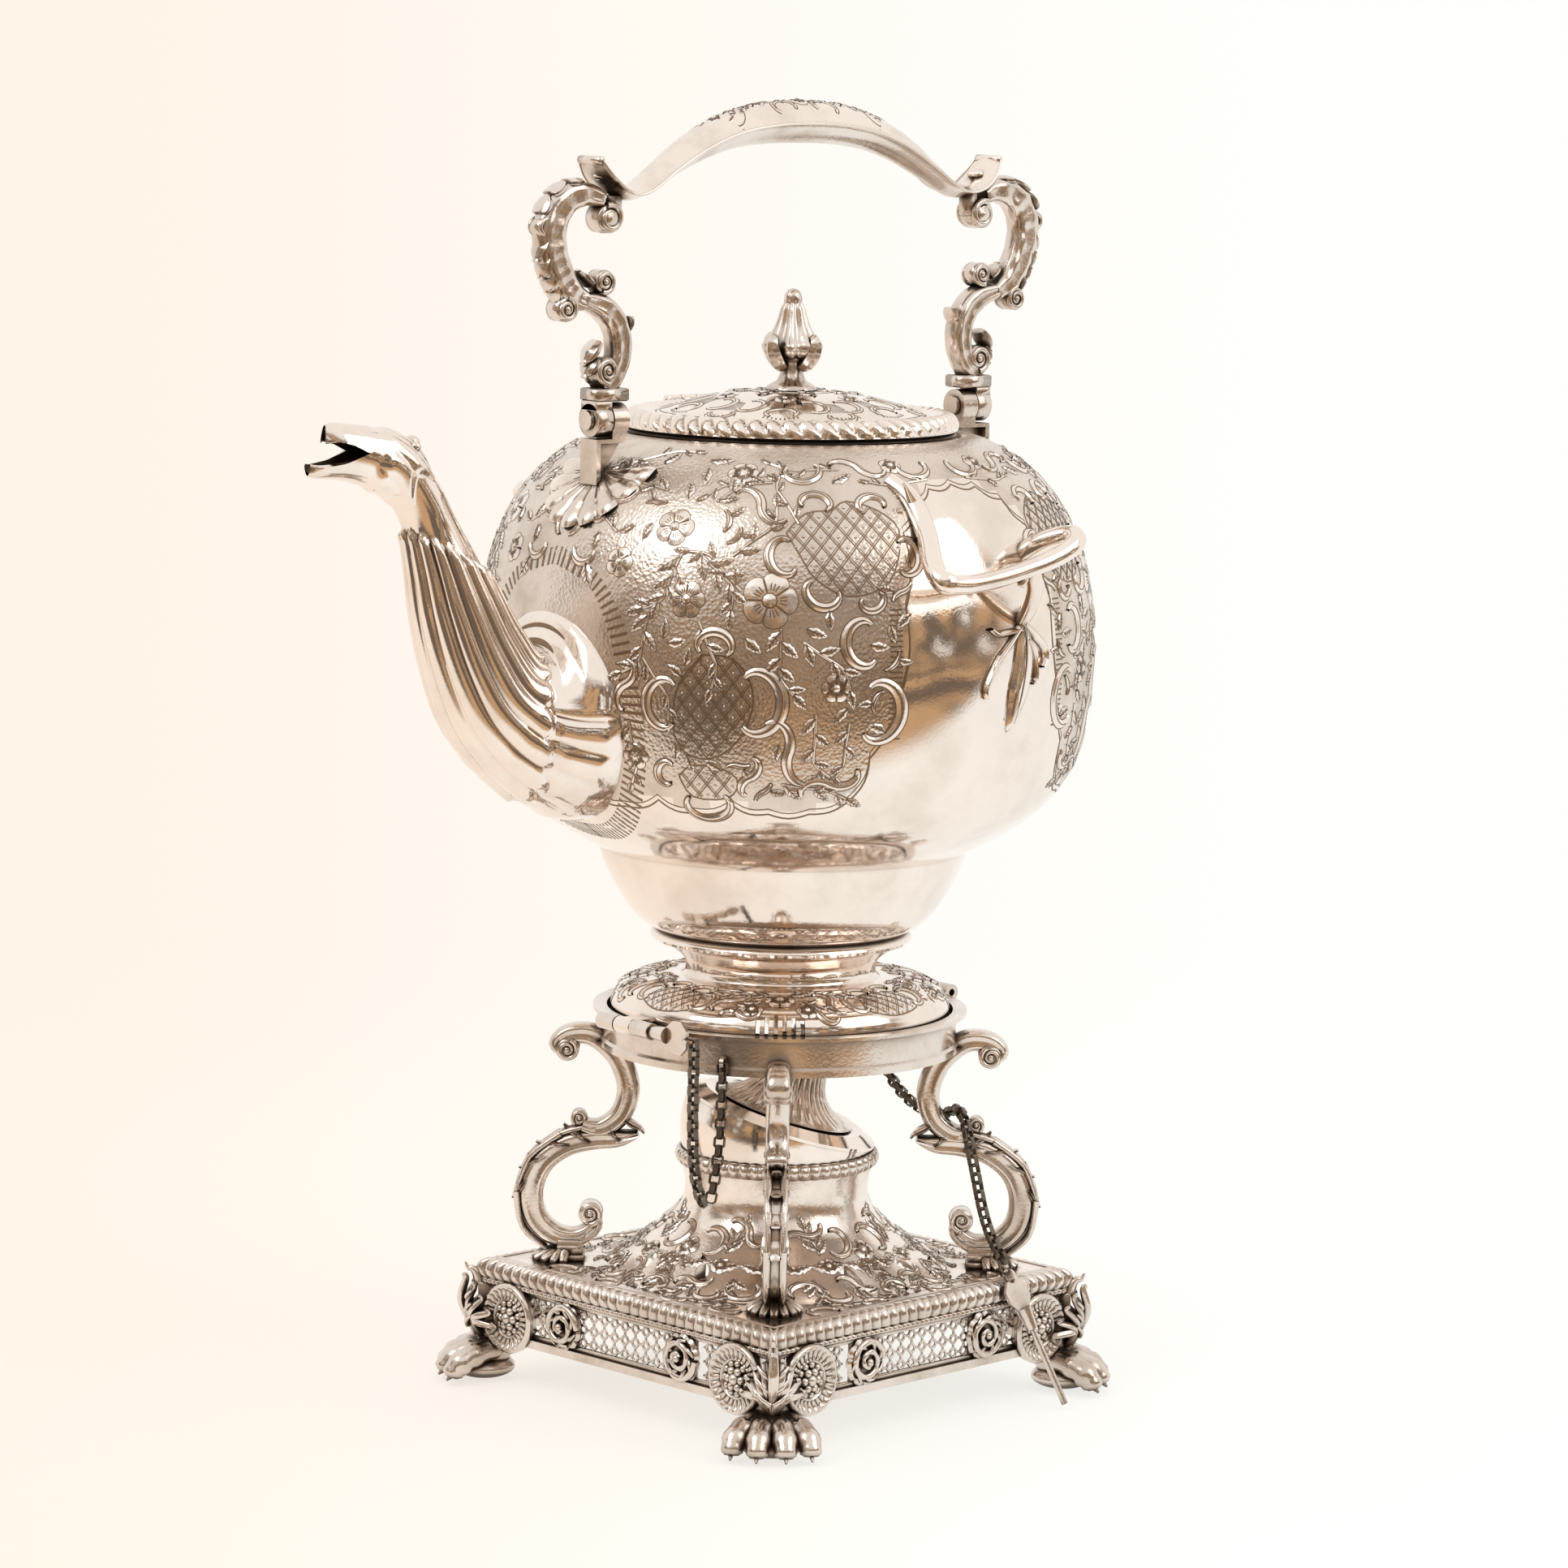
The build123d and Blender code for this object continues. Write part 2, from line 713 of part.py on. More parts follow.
ring_band = turned(
    [
        (ring_bore, ring_top),
        (ring_lip_radius, ring_top),
        (ring_lip_radius, ring_top - 1.1),
        (ring_outer, ring_top - 1.8),
        (ring_outer, ring_bottom + 3.0),
        (ring_outer + ring_bead, ring_bottom + 2.2),
        (ring_outer + ring_bead, ring_bottom),
        (ring_bore, ring_bottom),
        (ring_bore, ledge_top - 1.5),
        (ring_bore - ledge_width, ledge_top - 1.5),
        (ring_bore - ledge_width, ledge_top),
        (ring_bore, ledge_top),
    ]
)

with BuildPart() as kettle_ring:
    add(ring_band)
    for side in (-1, 1):
        # the lip is notched where the kettle's middle knuckle turns
        with Locations((side * (hinge_axis_radius - 0.5), 0, ring_top - 1)):
            Box(6.4, middle_knuckle + 2 * hinge_gap, 4, mode=Mode.SUBTRACT)
        for end in (-1, 1):
            with Locations((side * (hinge_axis_radius - 2.4), end * side_knuckle_y, ring_top - 0.7)):
                Box(4.8, side_knuckle, 1.4)
            with Locations(Location((side * hinge_axis_radius, end * side_knuckle_y, hinge_axis_height), (90, 0, 0))):
                Cylinder(knuckle_radius, side_knuckle)
                Cylinder(pin_radius + running_gap, side_knuckle + 1, mode=Mode.SUBTRACT)
    # an eye for each chain
    for angle in (front_eye_angle, rear_eye_angle):
        with BuildSketch(radial(angle)):
            with Locations((eye_reach, eye_height)):
                Circle(eye_radius)
            with Locations(((ring_outer + eye_reach) / 2, eye_height)):
                Rectangle(eye_reach - ring_outer + 0.4, 2 * eye_radius - 0.6)
            with Locations((eye_reach + 0.2, eye_height)):
                Circle(1.0, mode=Mode.SUBTRACT)
        extrude(amount=0.6, both=True)
save("kettle_ring", kettle_ring.part)

# ---------------------------------------------------------------- hinge pins


def pull_pin(place):
    """A pull-out hinge pin: its tip at the plane's origin, its head along the plane's normal."""
    face = Plane(origin=place.origin, x_dir=place.x_dir, z_dir=-place.y_dir)
    edge = Plane(origin=place.origin, x_dir=place.y_dir, z_dir=place.x_dir)
    neck = pin_length + socket_length - 3.0
    with BuildPart(place) as pin:
        Cylinder(pin_radius, pin_length, align=(Align.CENTER, Align.CENTER, Align.MIN))
        with Locations((0, 0, pin_length - 2.0)):
            Cone(1.8, 2.6, socket_length, align=(Align.CENTER, Align.CENTER, Align.MIN))
        # the shield-shaped head, and an eye across its end, where a link swings
        shield_end = neck + shield_length - link_swing_room
        with BuildSketch(face):
            Polygon(
                (-2.0, neck),
                (-5.0, neck + 4.0),
                (-5.2, neck + 8.0),
                (-2.6, shield_end),
                (2.6, shield_end),
                (5.2, neck + 8.0),
                (5.0, neck + 4.0),
                (2.0, neck),
                align=None,
            )
        extrude(amount=0.5, both=True)
        with BuildSketch(edge):
            with Locations((0, neck + shield_length)):
                Circle(2.4)
                Circle(1.6, mode=Mode.SUBTRACT)
        extrude(amount=0.4, both=True)
    return pin.part


front_pin_tip = (-hinge_axis_radius, middle_knuckle / 2 + hinge_gap + side_knuckle, hinge_axis_height)
save("front_pin", pull_pin(Plane(origin=front_pin_tip, x_dir=(0, 0, 1), z_dir=(0, -1, 0))))

rear_pin_tip = Vector(*rear_tip)
rear_axis = (Vector(*rear_top) - rear_pin_tip).normalized()
rear_pin_place = Plane(origin=rear_pin_tip, x_dir=rear_axis.cross(Vector(0.087, -0.996, 0.6)), z_dir=rear_axis)
rear_pin_side = rear_pin_place.y_dir
save("rear_pin", pull_pin(rear_pin_place))

# ---------------------------------------------------------------- chains


def link(place):
    """One band link, long along the plane's x axis."""
    half_length = link_length / 2
    half_width = link_width / 2
    flat = link_band / 2 + 0.25
    with BuildPart() as piece:
        with BuildSketch(place):
            for inward, mode in ((0, Mode.ADD), (link_wall, Mode.SUBTRACT)):
                long = half_length - inward
                wide = half_width - inward
                cut = 0.75 - inward / 2
                Polygon(
                    (long, wide - cut),
                    (long - cut, wide),
                    (cut - long, wide),
                    (-long, wide - cut),
                    (-long, cut - wide),
                    (cut - long, -wide),
                    (long - cut, -wide),
                    (long, cut - wide),
                    align=None,
                    mode=mode,
                )
        extrude(amount=link_band / 2, both=True)
    return piece.part


def chain(points, facing):
    """Links from the first point to the last along a smooth line, each a quarter turn on from the one before."""
    route = Spline(*points)
    count = int(route.length / link_pitch) + 1
    links = []
    for index in range(count):
        share = index / (count - 1)
        along = route % share
        facing = (facing - along * facing.dot(along)).normalized()
        across = along.cross(facing) if index % 2 else facing
        links.append(link(Plane(origin=route @ share, x_dir=along, z_dir=across)))
    return links


def eye_hole(angle):
    """The middle of the hole of a chain eye on the ring."""
    turn = radians(angle)
    reach = eye_reach + 0.2
    return Vector(reach * cos(turn), reach * sin(turn), eye_height)


link_hang = link_length / 2 - link_wall / 2
pin_eye_reach = pin_length + socket_length - 3.0 + shield_length
pin_eye_bar = 2.0
split_ring_seat = 1.42
front_eye = eye_hole(front_eye_angle)
front_pin_end = front_pin_tip[1] - pin_eye_reach - pin_eye_bar
strand_foot = 71.0

pin_strand = [
    (-hinge_axis_radius, front_pin_end, hinge_axis_height - 0.95),
    (-hinge_axis_radius, front_pin_end, 112.0),
    (-hinge_axis_radius + 0.6, front_pin_end + 0.6, 92.0),
    (-hinge_axis_radius + 2.4, front_pin_end + 1.2, 79.0),
    (-hinge_axis_radius + 5.4, front_pin_end + 1.6, strand_foot),
]
ring_strand = [
    (front_eye.X, front_eye.Y, front_eye.Z - link_hang),
    (front_eye.X, front_eye.Y, 105.0),
    (front_eye.X - 0.6, front_eye.Y, 90.0),
    (front_eye.X - 2.0, front_eye.Y, 79.0),
    (front_eye.X - 3.6, front_eye.Y, strand_foot + 1.0),
]
front_facing = Vector(cos(radians(front_eye_angle)), sin(radians(front_eye_angle)), 0)
save("front_chain_pin_side", Compound(children=chain(pin_strand, Vector(1, 0, 0))))
save("front_chain_ring_side", Compound(children=chain(ring_strand, front_facing)))

# the rear chain, as (out along the right-hand leg, across it, height): it hangs over the leg's saddle
leg_frame = Plane(
    origin=(0, 0, 0), x_dir=(cos(radians(stand_turn - 45)), sin(radians(stand_turn - 45)), 0), z_dir=(0, 0, 1)
)
rear_start = leg_frame.to_local_coords(eye_hole(rear_eye_angle) - Vector(0, 0, link_hang))
split_ring_place = Plane(
    origin=rear_pin_tip + rear_axis * (pin_eye_reach + pin_eye_bar + split_ring_seat),
    x_dir=rear_axis,
    z_dir=rear_pin_side,
)
ring_upward = Plane.XY.z_dir - rear_pin_side * rear_pin_side.Z
rear_end = leg_frame.to_local_coords(split_ring_place.origin + ring_upward.normalized() * 2.5)
rear_route = [
    (rear_start.X, rear_start.Y, rear_start.Z),
    (rear_start.X, rear_start.Y, 108.0),
    (rear_start.X + 0.4, rear_start.Y - 1.6, 102.6),
    (35.4, 38.0, 93.6),
    (42.0, 26.0, 87.0),
    (50.0, 13.0, 85.2),
    (54.6, 4.8, 87.5),
    (56.6, 0.2, 89.1),
    (58.2, -4.2, 88.2),
    (59.6, -7.8, 84.6),
    (60.8, -10.0, 78.8),
    (62.6, -11.4, 70.6),
    (65.2, -12.4, 59.0),
    (rear_end.X, rear_end.Y, rear_end.Z),
]
rear_facing = Vector(cos(radians(rear_eye_angle)), sin(radians(rear_eye_angle)), 0)
rear_links = chain([leg_frame.from_local_coords(point) for point in rear_route], rear_facing)

with BuildPart() as split_ring:
    with BuildSketch(split_ring_place):
        Circle(2.8)
        Circle(2.2, mode=Mode.SUBTRACT)
    extrude(amount=0.35, both=True)
save("rear_chain", Compound(children=rear_links + [split_ring.part]))

# ---------------------------------------------------------------- lamp and its collar

collar = turned(
    [
        (collar_bore, collar_bottom),
        (collar_radius - 1.0, collar_bottom),
        (collar_radius, collar_bottom + 1.2),
        (collar_radius - 0.6, collar_bottom + 2.6),
        (collar_radius, collar_top - 1.2),
        (collar_radius - 0.8, collar_top),
        (collar_bore, collar_top),
    ]
)
save("lamp_collar", collar)

lean = radians(lamp_lean)
lamp_up = Vector(
    sin(lean) * cos(radians(lamp_lean_toward)), sin(lean) * sin(radians(lamp_lean_toward)), cos(lean)
)
lean_axis = Vector(-sin(radians(lamp_lean_toward)), cos(radians(lamp_lean_toward)), 0)
lamp_centre = Vector(0, 0, lamp_height)
lamp_profile = Plane(origin=lamp_centre, x_dir=lean_axis, z_dir=lean_axis.cross(lamp_up))
lamp_axis = Axis(lamp_centre, lamp_up)

flange_bottom = 3.4
flange_top = 4.4
shoulder_radius_inner = 21.0
cone_top = 28.0
cone_bore = 7.6
ball_inner = lamp_ball - sheet
ball_start = sqrt(lamp_ball**2 - flange_bottom**2)
ball_inner_start = sqrt(ball_inner**2 - flange_bottom**2)

with BuildPart() as lamp_bowl:
    with BuildSketch(lamp_profile):
        with BuildLine():
            ThreePointArc(
                (ball_start, flange_bottom),
                (lamp_ball * cos(radians(40)), -lamp_ball * sin(radians(40))),
                (0, -lamp_ball),
            )
            Line((0, -lamp_ball), (0, -ball_inner))
            ThreePointArc(
                (0, -ball_inner),
                (ball_inner * cos(radians(40)), -ball_inner * sin(radians(40))),
                (ball_inner_start, flange_bottom),
            )
            Line((ball_inner_start, flange_bottom), (ball_start, flange_bottom))
        make_face()
    revolve(axis=lamp_axis)
    with BuildSketch(lamp_profile):
        Polygon(
            (ball_inner_start, flange_bottom),
            (lamp_ball + 0.15, flange_bottom),
            (lamp_ball + 0.15, flange_top),
            (shoulder_radius_inner + 5.0, flange_top + 2.2),
            (shoulder_radius_inner, flange_top + 1.6),
            (shoulder_radius_inner, flange_top + 0.4),
            (ball_inner_start, flange_top - 0.2),
            align=None,
        )
    revolve(axis=lamp_axis)
save("lamp_bowl", lamp_bowl.part)

cone_foot = flange_top + 1.6
with BuildPart() as lamp_cone:
    with BuildSketch(lamp_profile):
        with BuildLine():
            Line((shoulder_radius_inner + 1.4, cone_foot + 0.7), (shoulder_radius_inner - 0.2, cone_foot + 1.2))
            ThreePointArc(
                (shoulder_radius_inner - 0.2, cone_foot + 1.2), (11.6, 14.0), (cone_bore + 1.4, cone_top)
            )
            Line((cone_bore + 1.4, cone_top), (cone_bore, cone_top))
            ThreePointArc((cone_bore, cone_top), (10.4, 13.2), (shoulder_radius_inner - 1.0, cone_foot - 0.2))
            Polyline(
                (shoulder_radius_inner - 1.0, cone_foot - 0.2),
                (shoulder_radius_inner, cone_foot),
                (shoulder_radius_inner + 1.4, cone_foot + 0.7),
            )
        make_face()
    revolve(axis=lamp_axis)
save("lamp_cone", lamp_cone.part)

with BuildPart(Plane(origin=lamp_centre, x_dir=lean_axis, z_dir=lamp_up)) as wick_tube:
    with Locations((0, 0, cone_top)):
        Cylinder(cone_bore + 1.4, 0.8, align=(Align.CENTER, Align.CENTER, Align.MIN))
    with Locations((0, 0, cone_top - 8)):
        Cylinder(wick_radius + 1.2, 11.0, align=(Align.CENTER, Align.CENTER, Align.MIN))
        Cylinder(wick_radius, 11.0, align=(Align.CENTER, Align.CENTER, Align.MIN), mode=Mode.SUBTRACT)
save("wick_tube", wick_tube.part)

with BuildPart(Plane(origin=lamp_centre, x_dir=lean_axis, z_dir=lamp_up)) as wick:
    with Locations((0, 0, cone_top - 8)):
        Cylinder(wick_radius, 13.0, align=(Align.CENTER, Align.CENTER, Align.MIN))
save("wick", wick.part)

# ---------------------------------------------------------------- base of the stand

mound_outer = [(57.5, plate_top), (50.0, 41.5), (34.0, 53.2), (29.0, 65.0), (30.2, collar_bottom)]
mound_start = (-0.97, 0.15)
mound_inner = inset(mound_outer, mound_start, -sheet)
mound_leaves = 12

with BuildPart() as base_plate:
    with BuildSketch(stand_plane.offset(plate_top - sheet)):
        Rectangle(2 * plate_half, 2 * plate_half)
        Circle(mound_outer[0][0] - 2.2, mode=Mode.SUBTRACT)
    extrude(amount=sheet)
    with BuildSketch(Plane.XZ):
        with BuildLine():
            arcs(mound_outer, mound_start)
            Line(mound_outer[-1], mound_inner[-1])
            arcs(mound_inner, mound_start)
            Polyline(mound_inner[0], (mound_inner[0][0], plate_top - sheet), (57.5, plate_top - sheet), mound_outer[0])
        make_face()
    revolve(axis=Axis.Z)
    # leaf-shaped piercings round the slope
    for step in range(mound_leaves):
        turn = radians(stand_turn + 360 * (step + 0.5) / mound_leaves)
        lie = turn + radians(24)
        place = (46.5 * cos(turn), 46.5 * sin(turn), 30)
        with BuildSketch(Plane(origin=place, x_dir=(cos(lie), sin(lie), 0), z_dir=(0, 0, 1))):
            with BuildLine():
                ThreePointArc((-7.0, 0), (0, 2.8), (7.0, 0))
                ThreePointArc((7.0, 0), (0, -1.8), (-7.0, 0))
            make_face()
        extrude(amount=40, mode=Mode.SUBTRACT)
save("base_plate", base_plate.part)

with BuildPart() as gadroon_border:
    with BuildSketch(radial(stand_turn)):
        Polygon(
            (plate_half, plate_top - sheet),
            (plate_half, plate_top),
            (62.6, plate_top + 0.2),
            (65.4, 36.2),
            (66.6, 33.0),
            (66.6, border_bottom),
            (plate_half + 2.6, border_bottom),
            (plate_half + 2.6, 34.0),
            (plate_half + 0.4, plate_top - sheet),
            align=None,
        )
    with BuildLine(stand_plane.offset(plate_top)) as border_path:
        Polyline(
            (plate_half, 0),
            (plate_half, plate_half),
            (-plate_half, plate_half),
            (-plate_half, -plate_half),
            (plate_half, -plate_half),
            (plate_half, 0),
        )
    sweep(path=border_path.line, transition=Transition.RIGHT)
save("gadroon_border", gadroon_border.part)

with BuildPart() as lower_rail:
    with BuildSketch(stand_plane.offset(rail_bottom)):
        Rectangle(2 * rail_half, 2 * rail_half)
        Rectangle(2 * rail_half - 10, 2 * rail_half - 10, mode=Mode.SUBTRACT)
    extrude(amount=rail_top - rail_bottom)
save("lower_rail", lower_rail.part)

lobe_pitch = 8.2
lobe_rows = (19.9, 23.6, 27.3)


def on_roundel(place):
    """Whether a piercing at this place along the side would be behind a roundel."""
    near_big = abs(abs(place) - big_roundel_place) < big_roundel_radius + 1.5
    near_small = abs(abs(place) - small_roundel_place) < small_roundel_radius + 1.0
    return near_big or near_small or abs(place) > big_roundel_place


for number, angle in enumerate(side_angles, start=1):
    with BuildPart() as gallery:
        # the fascia runs past its neighbour's end at one corner and stops against it at the other
        with BuildSketch(stand_side(angle).offset(fascia_half - sheet)):
            with Locations((sheet / 2, (rail_top + border_bottom) / 2)):
                Rectangle(2 * fascia_half - sheet, border_bottom - rail_top)
            for row, height in enumerate(lobe_rows):
                for step in range(-8, 9):
                    place = lobe_pitch * (step + 0.5 * (row % 2))
                    if not on_roundel(place):
                        with Locations((place, height)):
                            Polygon(
                                (3.2, 0),
                                (1.1, 1.1),
                                (0, 3.2),
                                (-1.1, 1.1),
                                (-3.2, 0),
                                (-1.1, -1.1),
                                (0, -3.2),
                                (1.1, -1.1),
                                align=None,
                                mode=Mode.SUBTRACT,
                            )
        extrude(amount=sheet)
        # roundels: a dished disc with a boss, standing clear of the rail and the border
        for place, height, size in (
            (-big_roundel_place, roundel_height, big_roundel_radius),
            (-small_roundel_place, small_roundel_height, small_roundel_radius),
            (small_roundel_place, small_roundel_height, small_roundel_radius),
            (big_roundel_place, roundel_height, big_roundel_radius),
        ):
            with BuildSketch(stand_side(angle).offset(fascia_half)):
                with Locations((place, height)):
                    Circle(5.0)
            extrude(amount=rail_half - fascia_half + 0.2)
            with BuildSketch(stand_side(angle).offset(rail_half + 0.2)):
                with Locations((place, height)):
                    Circle(size)
            extrude(amount=roundel_plane - rail_half - 0.2, taper=18)
    save(f"gallery_{number}", gallery.part)

# ---------------------------------------------------------------- corners and feet

# leaf sections at each height: (height, reach of the corner along each side)
corner_leaf = [(rail_bottom, 68.6), (18.0, 70.6), (23.0, 71.4), (28.0, 70.4), (33.0, 68.4)]
corner_start = 63.2
horn = [(94.6, 31.5), (94.6, 33.6), (96.0, 34.6), (96.8, 37.4), (98.4, 36.6), (98.2, 33.6), (96.6, 31.0)]
paw_middle = paw_reach - paw_length / 2
# paw sections: (height, middle from the axis, half length, half width)
paw_stations = [
    (0.0, paw_middle, paw_length / 2, paw_width / 2),
    (4.0, paw_middle - 0.2, paw_length / 2 - 0.6, paw_width / 2 + 0.2),
    (8.0, paw_middle - 2.2, paw_length / 2 - 2.4, paw_width / 2 - 2.0),
    (11.0, paw_middle - 5.4, 7.0, 6.8),
    (rail_bottom, paw_middle - 6.4, 6.0, 6.0),
]

for number, angle in enumerate(corner_angles, start=1):
    turn = angle - 45
    corner_plane = Plane(origin=(0, 0, 0), x_dir=(cos(radians(turn)), sin(radians(turn)), 0), z_dir=(0, 0, 1))
    with BuildPart() as corner_block:
        for height, reach in corner_leaf:
            with BuildSketch(corner_plane.offset(height)):
                Polygon(
                    (corner_start, corner_start),
                    (reach, corner_start),
                    (reach, reach - 2.4),
                    (reach - 2.4, reach),
                    (corner_start, reach),
                    align=None,
                )
        loft(ruled=True)
        with BuildSketch(corner_plane.offset(rail_bottom)):
            Rectangle(2 * rail_half, 2 * rail_half)
        extrude(amount=30, mode=Mode.SUBTRACT)
        with BuildSketch(radial(angle)):
            Polygon(*horn, align=None)
        extrude(amount=1.4, both=True)
    save(f"corner_leaf_{number}", corner_block.part)

    toe_plane = Plane(origin=(0, 0, 0), x_dir=(cos(radians(angle)), sin(radians(angle)), 0), z_dir=(0, 0, 1))
    with BuildPart() as foot:
        for height, middle, long, wide in paw_stations:
            with BuildSketch(toe_plane.offset(height)):
                with Locations((middle, 0)):
                    Ellipse(long, wide)
        loft()
        # three clefts make four toes
        for cleft in (-1, 0, 1):
            with BuildSketch(toe_plane.offset(-1)):
                with Locations(Location((paw_middle + 3.4, cleft * 6.4), cleft * 18)):
                    Polygon((1.5, 0), (14, 1.5), (14, -1.5), align=None)
            extrude(amount=10.5, mode=Mode.SUBTRACT)
    save(f"foot_{number}", foot.part)

# ---------------------------------------------------------------- legs

leg_upper = [
    (66.6, 105.6),
    (70.2, 109.2),
    (66.4, 113.4),
    (58.6, 112.2),
    (51.0, 105.0),
    (47.4, 95.0),
    (49.4, 86.2),
    (55.6, 81.4),
    (62.4, 82.6),
]
leg_upper_widths = [4.0, 5.4, 6.6, 7.2, 7.4, 7.4, 7.0, 6.4, 5.0]
leg_lower = [
    (44.0, 79.6),
    (50.0, 78.0),
    (58.0, 77.6),
    (67.0, 75.4),
    (74.4, 69.6),
    (77.6, 61.0),
    (76.0, 52.2),
    (70.2, 46.8),
    (62.8, 46.0),
    (57.4, 50.0),
    (58.4, 55.2),
]
leg_lower_widths = [3.0, 5.6, 6.8, 7.4, 7.8, 8.0, 7.8, 7.2, 6.4, 5.2, 4.0]
upper_leg_band = ribbon(leg_upper, leg_upper_widths)
lower_leg_band = ribbon(leg_lower, leg_lower_widths)
palmette_top = plate_top + 2.0

for number, angle in enumerate(corner_angles, start=1):
    with BuildPart() as leg:
        with BuildSketch(radial(angle)):
            add([upper_leg_band, lower_leg_band])
            with Locations((66.8, 107.2)):
                Circle(3.4)
            with Locations((58.6, 54.0)):
                Circle(3.6)
            # the pad that it stands on
            with Locations((65.0, palmette_top + 2.6)):
                Rectangle(8.0, 5.2)
        extrude(amount=leg_width / 2, both=True)
        # its top bears on the ring's side and underside
        with BuildSketch(Plane.XY.offset(ring_bottom)):
            Circle(ring_outer + ring_bead)
        extrude(amount=20, mode=Mode.SUBTRACT)
    save(f"leg_{number}", leg.part)

    shell_plane = Plane(
        origin=(0, 0, plate_top), x_dir=(cos(radians(angle)), sin(radians(angle)), 0), z_dir=(0, 0, 1)
    )
    fan_side = [(78.0, 0.0), (77.0, 4.4), (74.6, 8.4), (70.6, 11.0), (66.0, 11.5), (60.0, 4.6)]
    fan = fan_side + [(reach, -across) for reach, across in fan_side[:0:-1]]
    with BuildPart() as leg_shell:
        with BuildSketch(shell_plane):
            Polygon(*fan, align=None)
        extrude(amount=palmette_top - plate_top, taper=30)
    save(f"leg_shell_{number}", leg_shell.part)
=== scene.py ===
from math import asin, atan2, cos, degrees, exp, hypot, pi, radians, sin, sqrt

import bpy
from mathutils import Matrix, Vector


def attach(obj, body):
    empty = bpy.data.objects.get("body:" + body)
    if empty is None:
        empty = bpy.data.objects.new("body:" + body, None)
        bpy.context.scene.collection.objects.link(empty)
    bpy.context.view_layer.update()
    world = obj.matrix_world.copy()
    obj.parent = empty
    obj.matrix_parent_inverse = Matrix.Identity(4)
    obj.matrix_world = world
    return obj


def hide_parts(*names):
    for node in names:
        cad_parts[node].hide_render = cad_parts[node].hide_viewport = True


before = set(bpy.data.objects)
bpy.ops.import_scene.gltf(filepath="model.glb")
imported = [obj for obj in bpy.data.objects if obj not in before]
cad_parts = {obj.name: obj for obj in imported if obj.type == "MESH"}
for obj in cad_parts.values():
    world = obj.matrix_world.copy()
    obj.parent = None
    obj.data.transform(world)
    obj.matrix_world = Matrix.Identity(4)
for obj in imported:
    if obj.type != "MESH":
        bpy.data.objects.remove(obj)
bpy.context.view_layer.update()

bl_info = {
    "name": "Spirit kettle on stand",
    "version": (1, 0, 0),
    "blender": (4, 5, 0),
    "location": "View3D > Sidebar > Kettle",
    "description": "Builds the looks of a chased silver spirit kettle round its CAD frame",
    "category": "Add Mesh",
}

MM = 0.001
TURN = 2 * pi
GOLDEN_ANGLE = 137.5

# places on the kettle, in millimetres
STAND_TURN = 5.0
PLATE_TOP = 38.6
BAIL_AXIS = 308.7
LID_HINGE = (51.5, 309)
SIDE_ANGLES = [STAND_TURN + 90 * quarter for quarter in range(4)]
CORNER_ANGLES = [angle + 45 for angle in SIDE_ANGLES]


# ---- settings


class KettleFinish(bpy.types.PropertyGroup):
    """Colours and surface of the silver."""

    bright: bpy.props.FloatVectorProperty(
        name="Bright silver", description="Colour of the rubbed silver", subtype="COLOR", size=3,
        min=0, max=1, default=(0.91, 0.82, 0.75),
    )
    tarnish: bpy.props.FloatVectorProperty(
        name="Tarnish", description="Colour of the thin warm tarnish", subtype="COLOR", size=3,
        min=0, max=1, default=(0.50, 0.41, 0.33),
    )
    # the recess colour is laid where the occlusion mask finds recesses: patina and painted shade
    recess: bpy.props.FloatVectorProperty(
        name="Recess", description="Colour of the patina left in the recesses", subtype="COLOR", size=3,
        min=0, max=1, default=(0.115, 0.078, 0.052),
    )
    oxide: bpy.props.FloatVectorProperty(
        name="Oxidised chain", description="Colour of the blackened chains", subtype="COLOR", size=3,
        min=0, max=1, default=(0.16, 0.135, 0.11),
    )
    # the reach of the occlusion mask that paints patina and shade out of the recesses
    recess_depth: bpy.props.FloatProperty(
        name="Patina reach", description="How far the patina spreads out of a recess",
        subtype="DISTANCE", unit="LENGTH", min=0.0002, max=0.01, default=0.0022,
    )


class KettleStage(bpy.types.PropertyGroup):
    """The camera, the floor and the room that the silver mirrors."""

    camera_distance: bpy.props.FloatProperty(
        name="Camera distance", description="From the kettle's axis, level with the table",
        subtype="DISTANCE", unit="LENGTH", default=1.7119,
    )
    camera_height: bpy.props.FloatProperty(
        name="Camera height", description="Above the table", subtype="DISTANCE", unit="LENGTH",
        default=0.4308,
    )
    camera_azimuth: bpy.props.FloatProperty(
        name="Camera azimuth", description="Direction that the camera looks along", subtype="ANGLE",
        default=radians(50.0),
    )
    camera_pitch: bpy.props.FloatProperty(
        name="Camera pitch", description="How far the camera looks down", subtype="ANGLE",
        default=radians(7.941),
    )
    camera_roll: bpy.props.FloatProperty(
        name="Camera roll", description="How far the camera leans", subtype="ANGLE",
        default=radians(1.081),
    )
    lens: bpy.props.FloatProperty(
        name="Lens", description="Focal length on a 36 mm wide sensor", subtype="DISTANCE_CAMERA",
        default=126.56,
    )
    white: bpy.props.FloatVectorProperty(
        name="White", description="Backdrop on the bright side", subtype="COLOR", size=3, min=0, max=1,
        default=(1.0, 1.0, 0.965),
    )
    peach: bpy.props.FloatVectorProperty(
        name="Peach", description="Backdrop on the warm side", subtype="COLOR", size=3, min=0, max=1,
        default=(1.0, 0.90, 0.80),
    )
    room: bpy.props.FloatVectorProperty(
        name="Room", description="Colour of the dim room in front of the kettle", subtype="COLOR",
        size=3, min=0, max=1, default=(0.17, 0.13, 0.10),
    )
    tan: bpy.props.FloatVectorProperty(
        name="Lit wall", description="Colour of the warm lit parts of the room", subtype="COLOR",
        size=3, min=0, max=1, default=(0.62, 0.40, 0.22),
    )


# ---- nodes


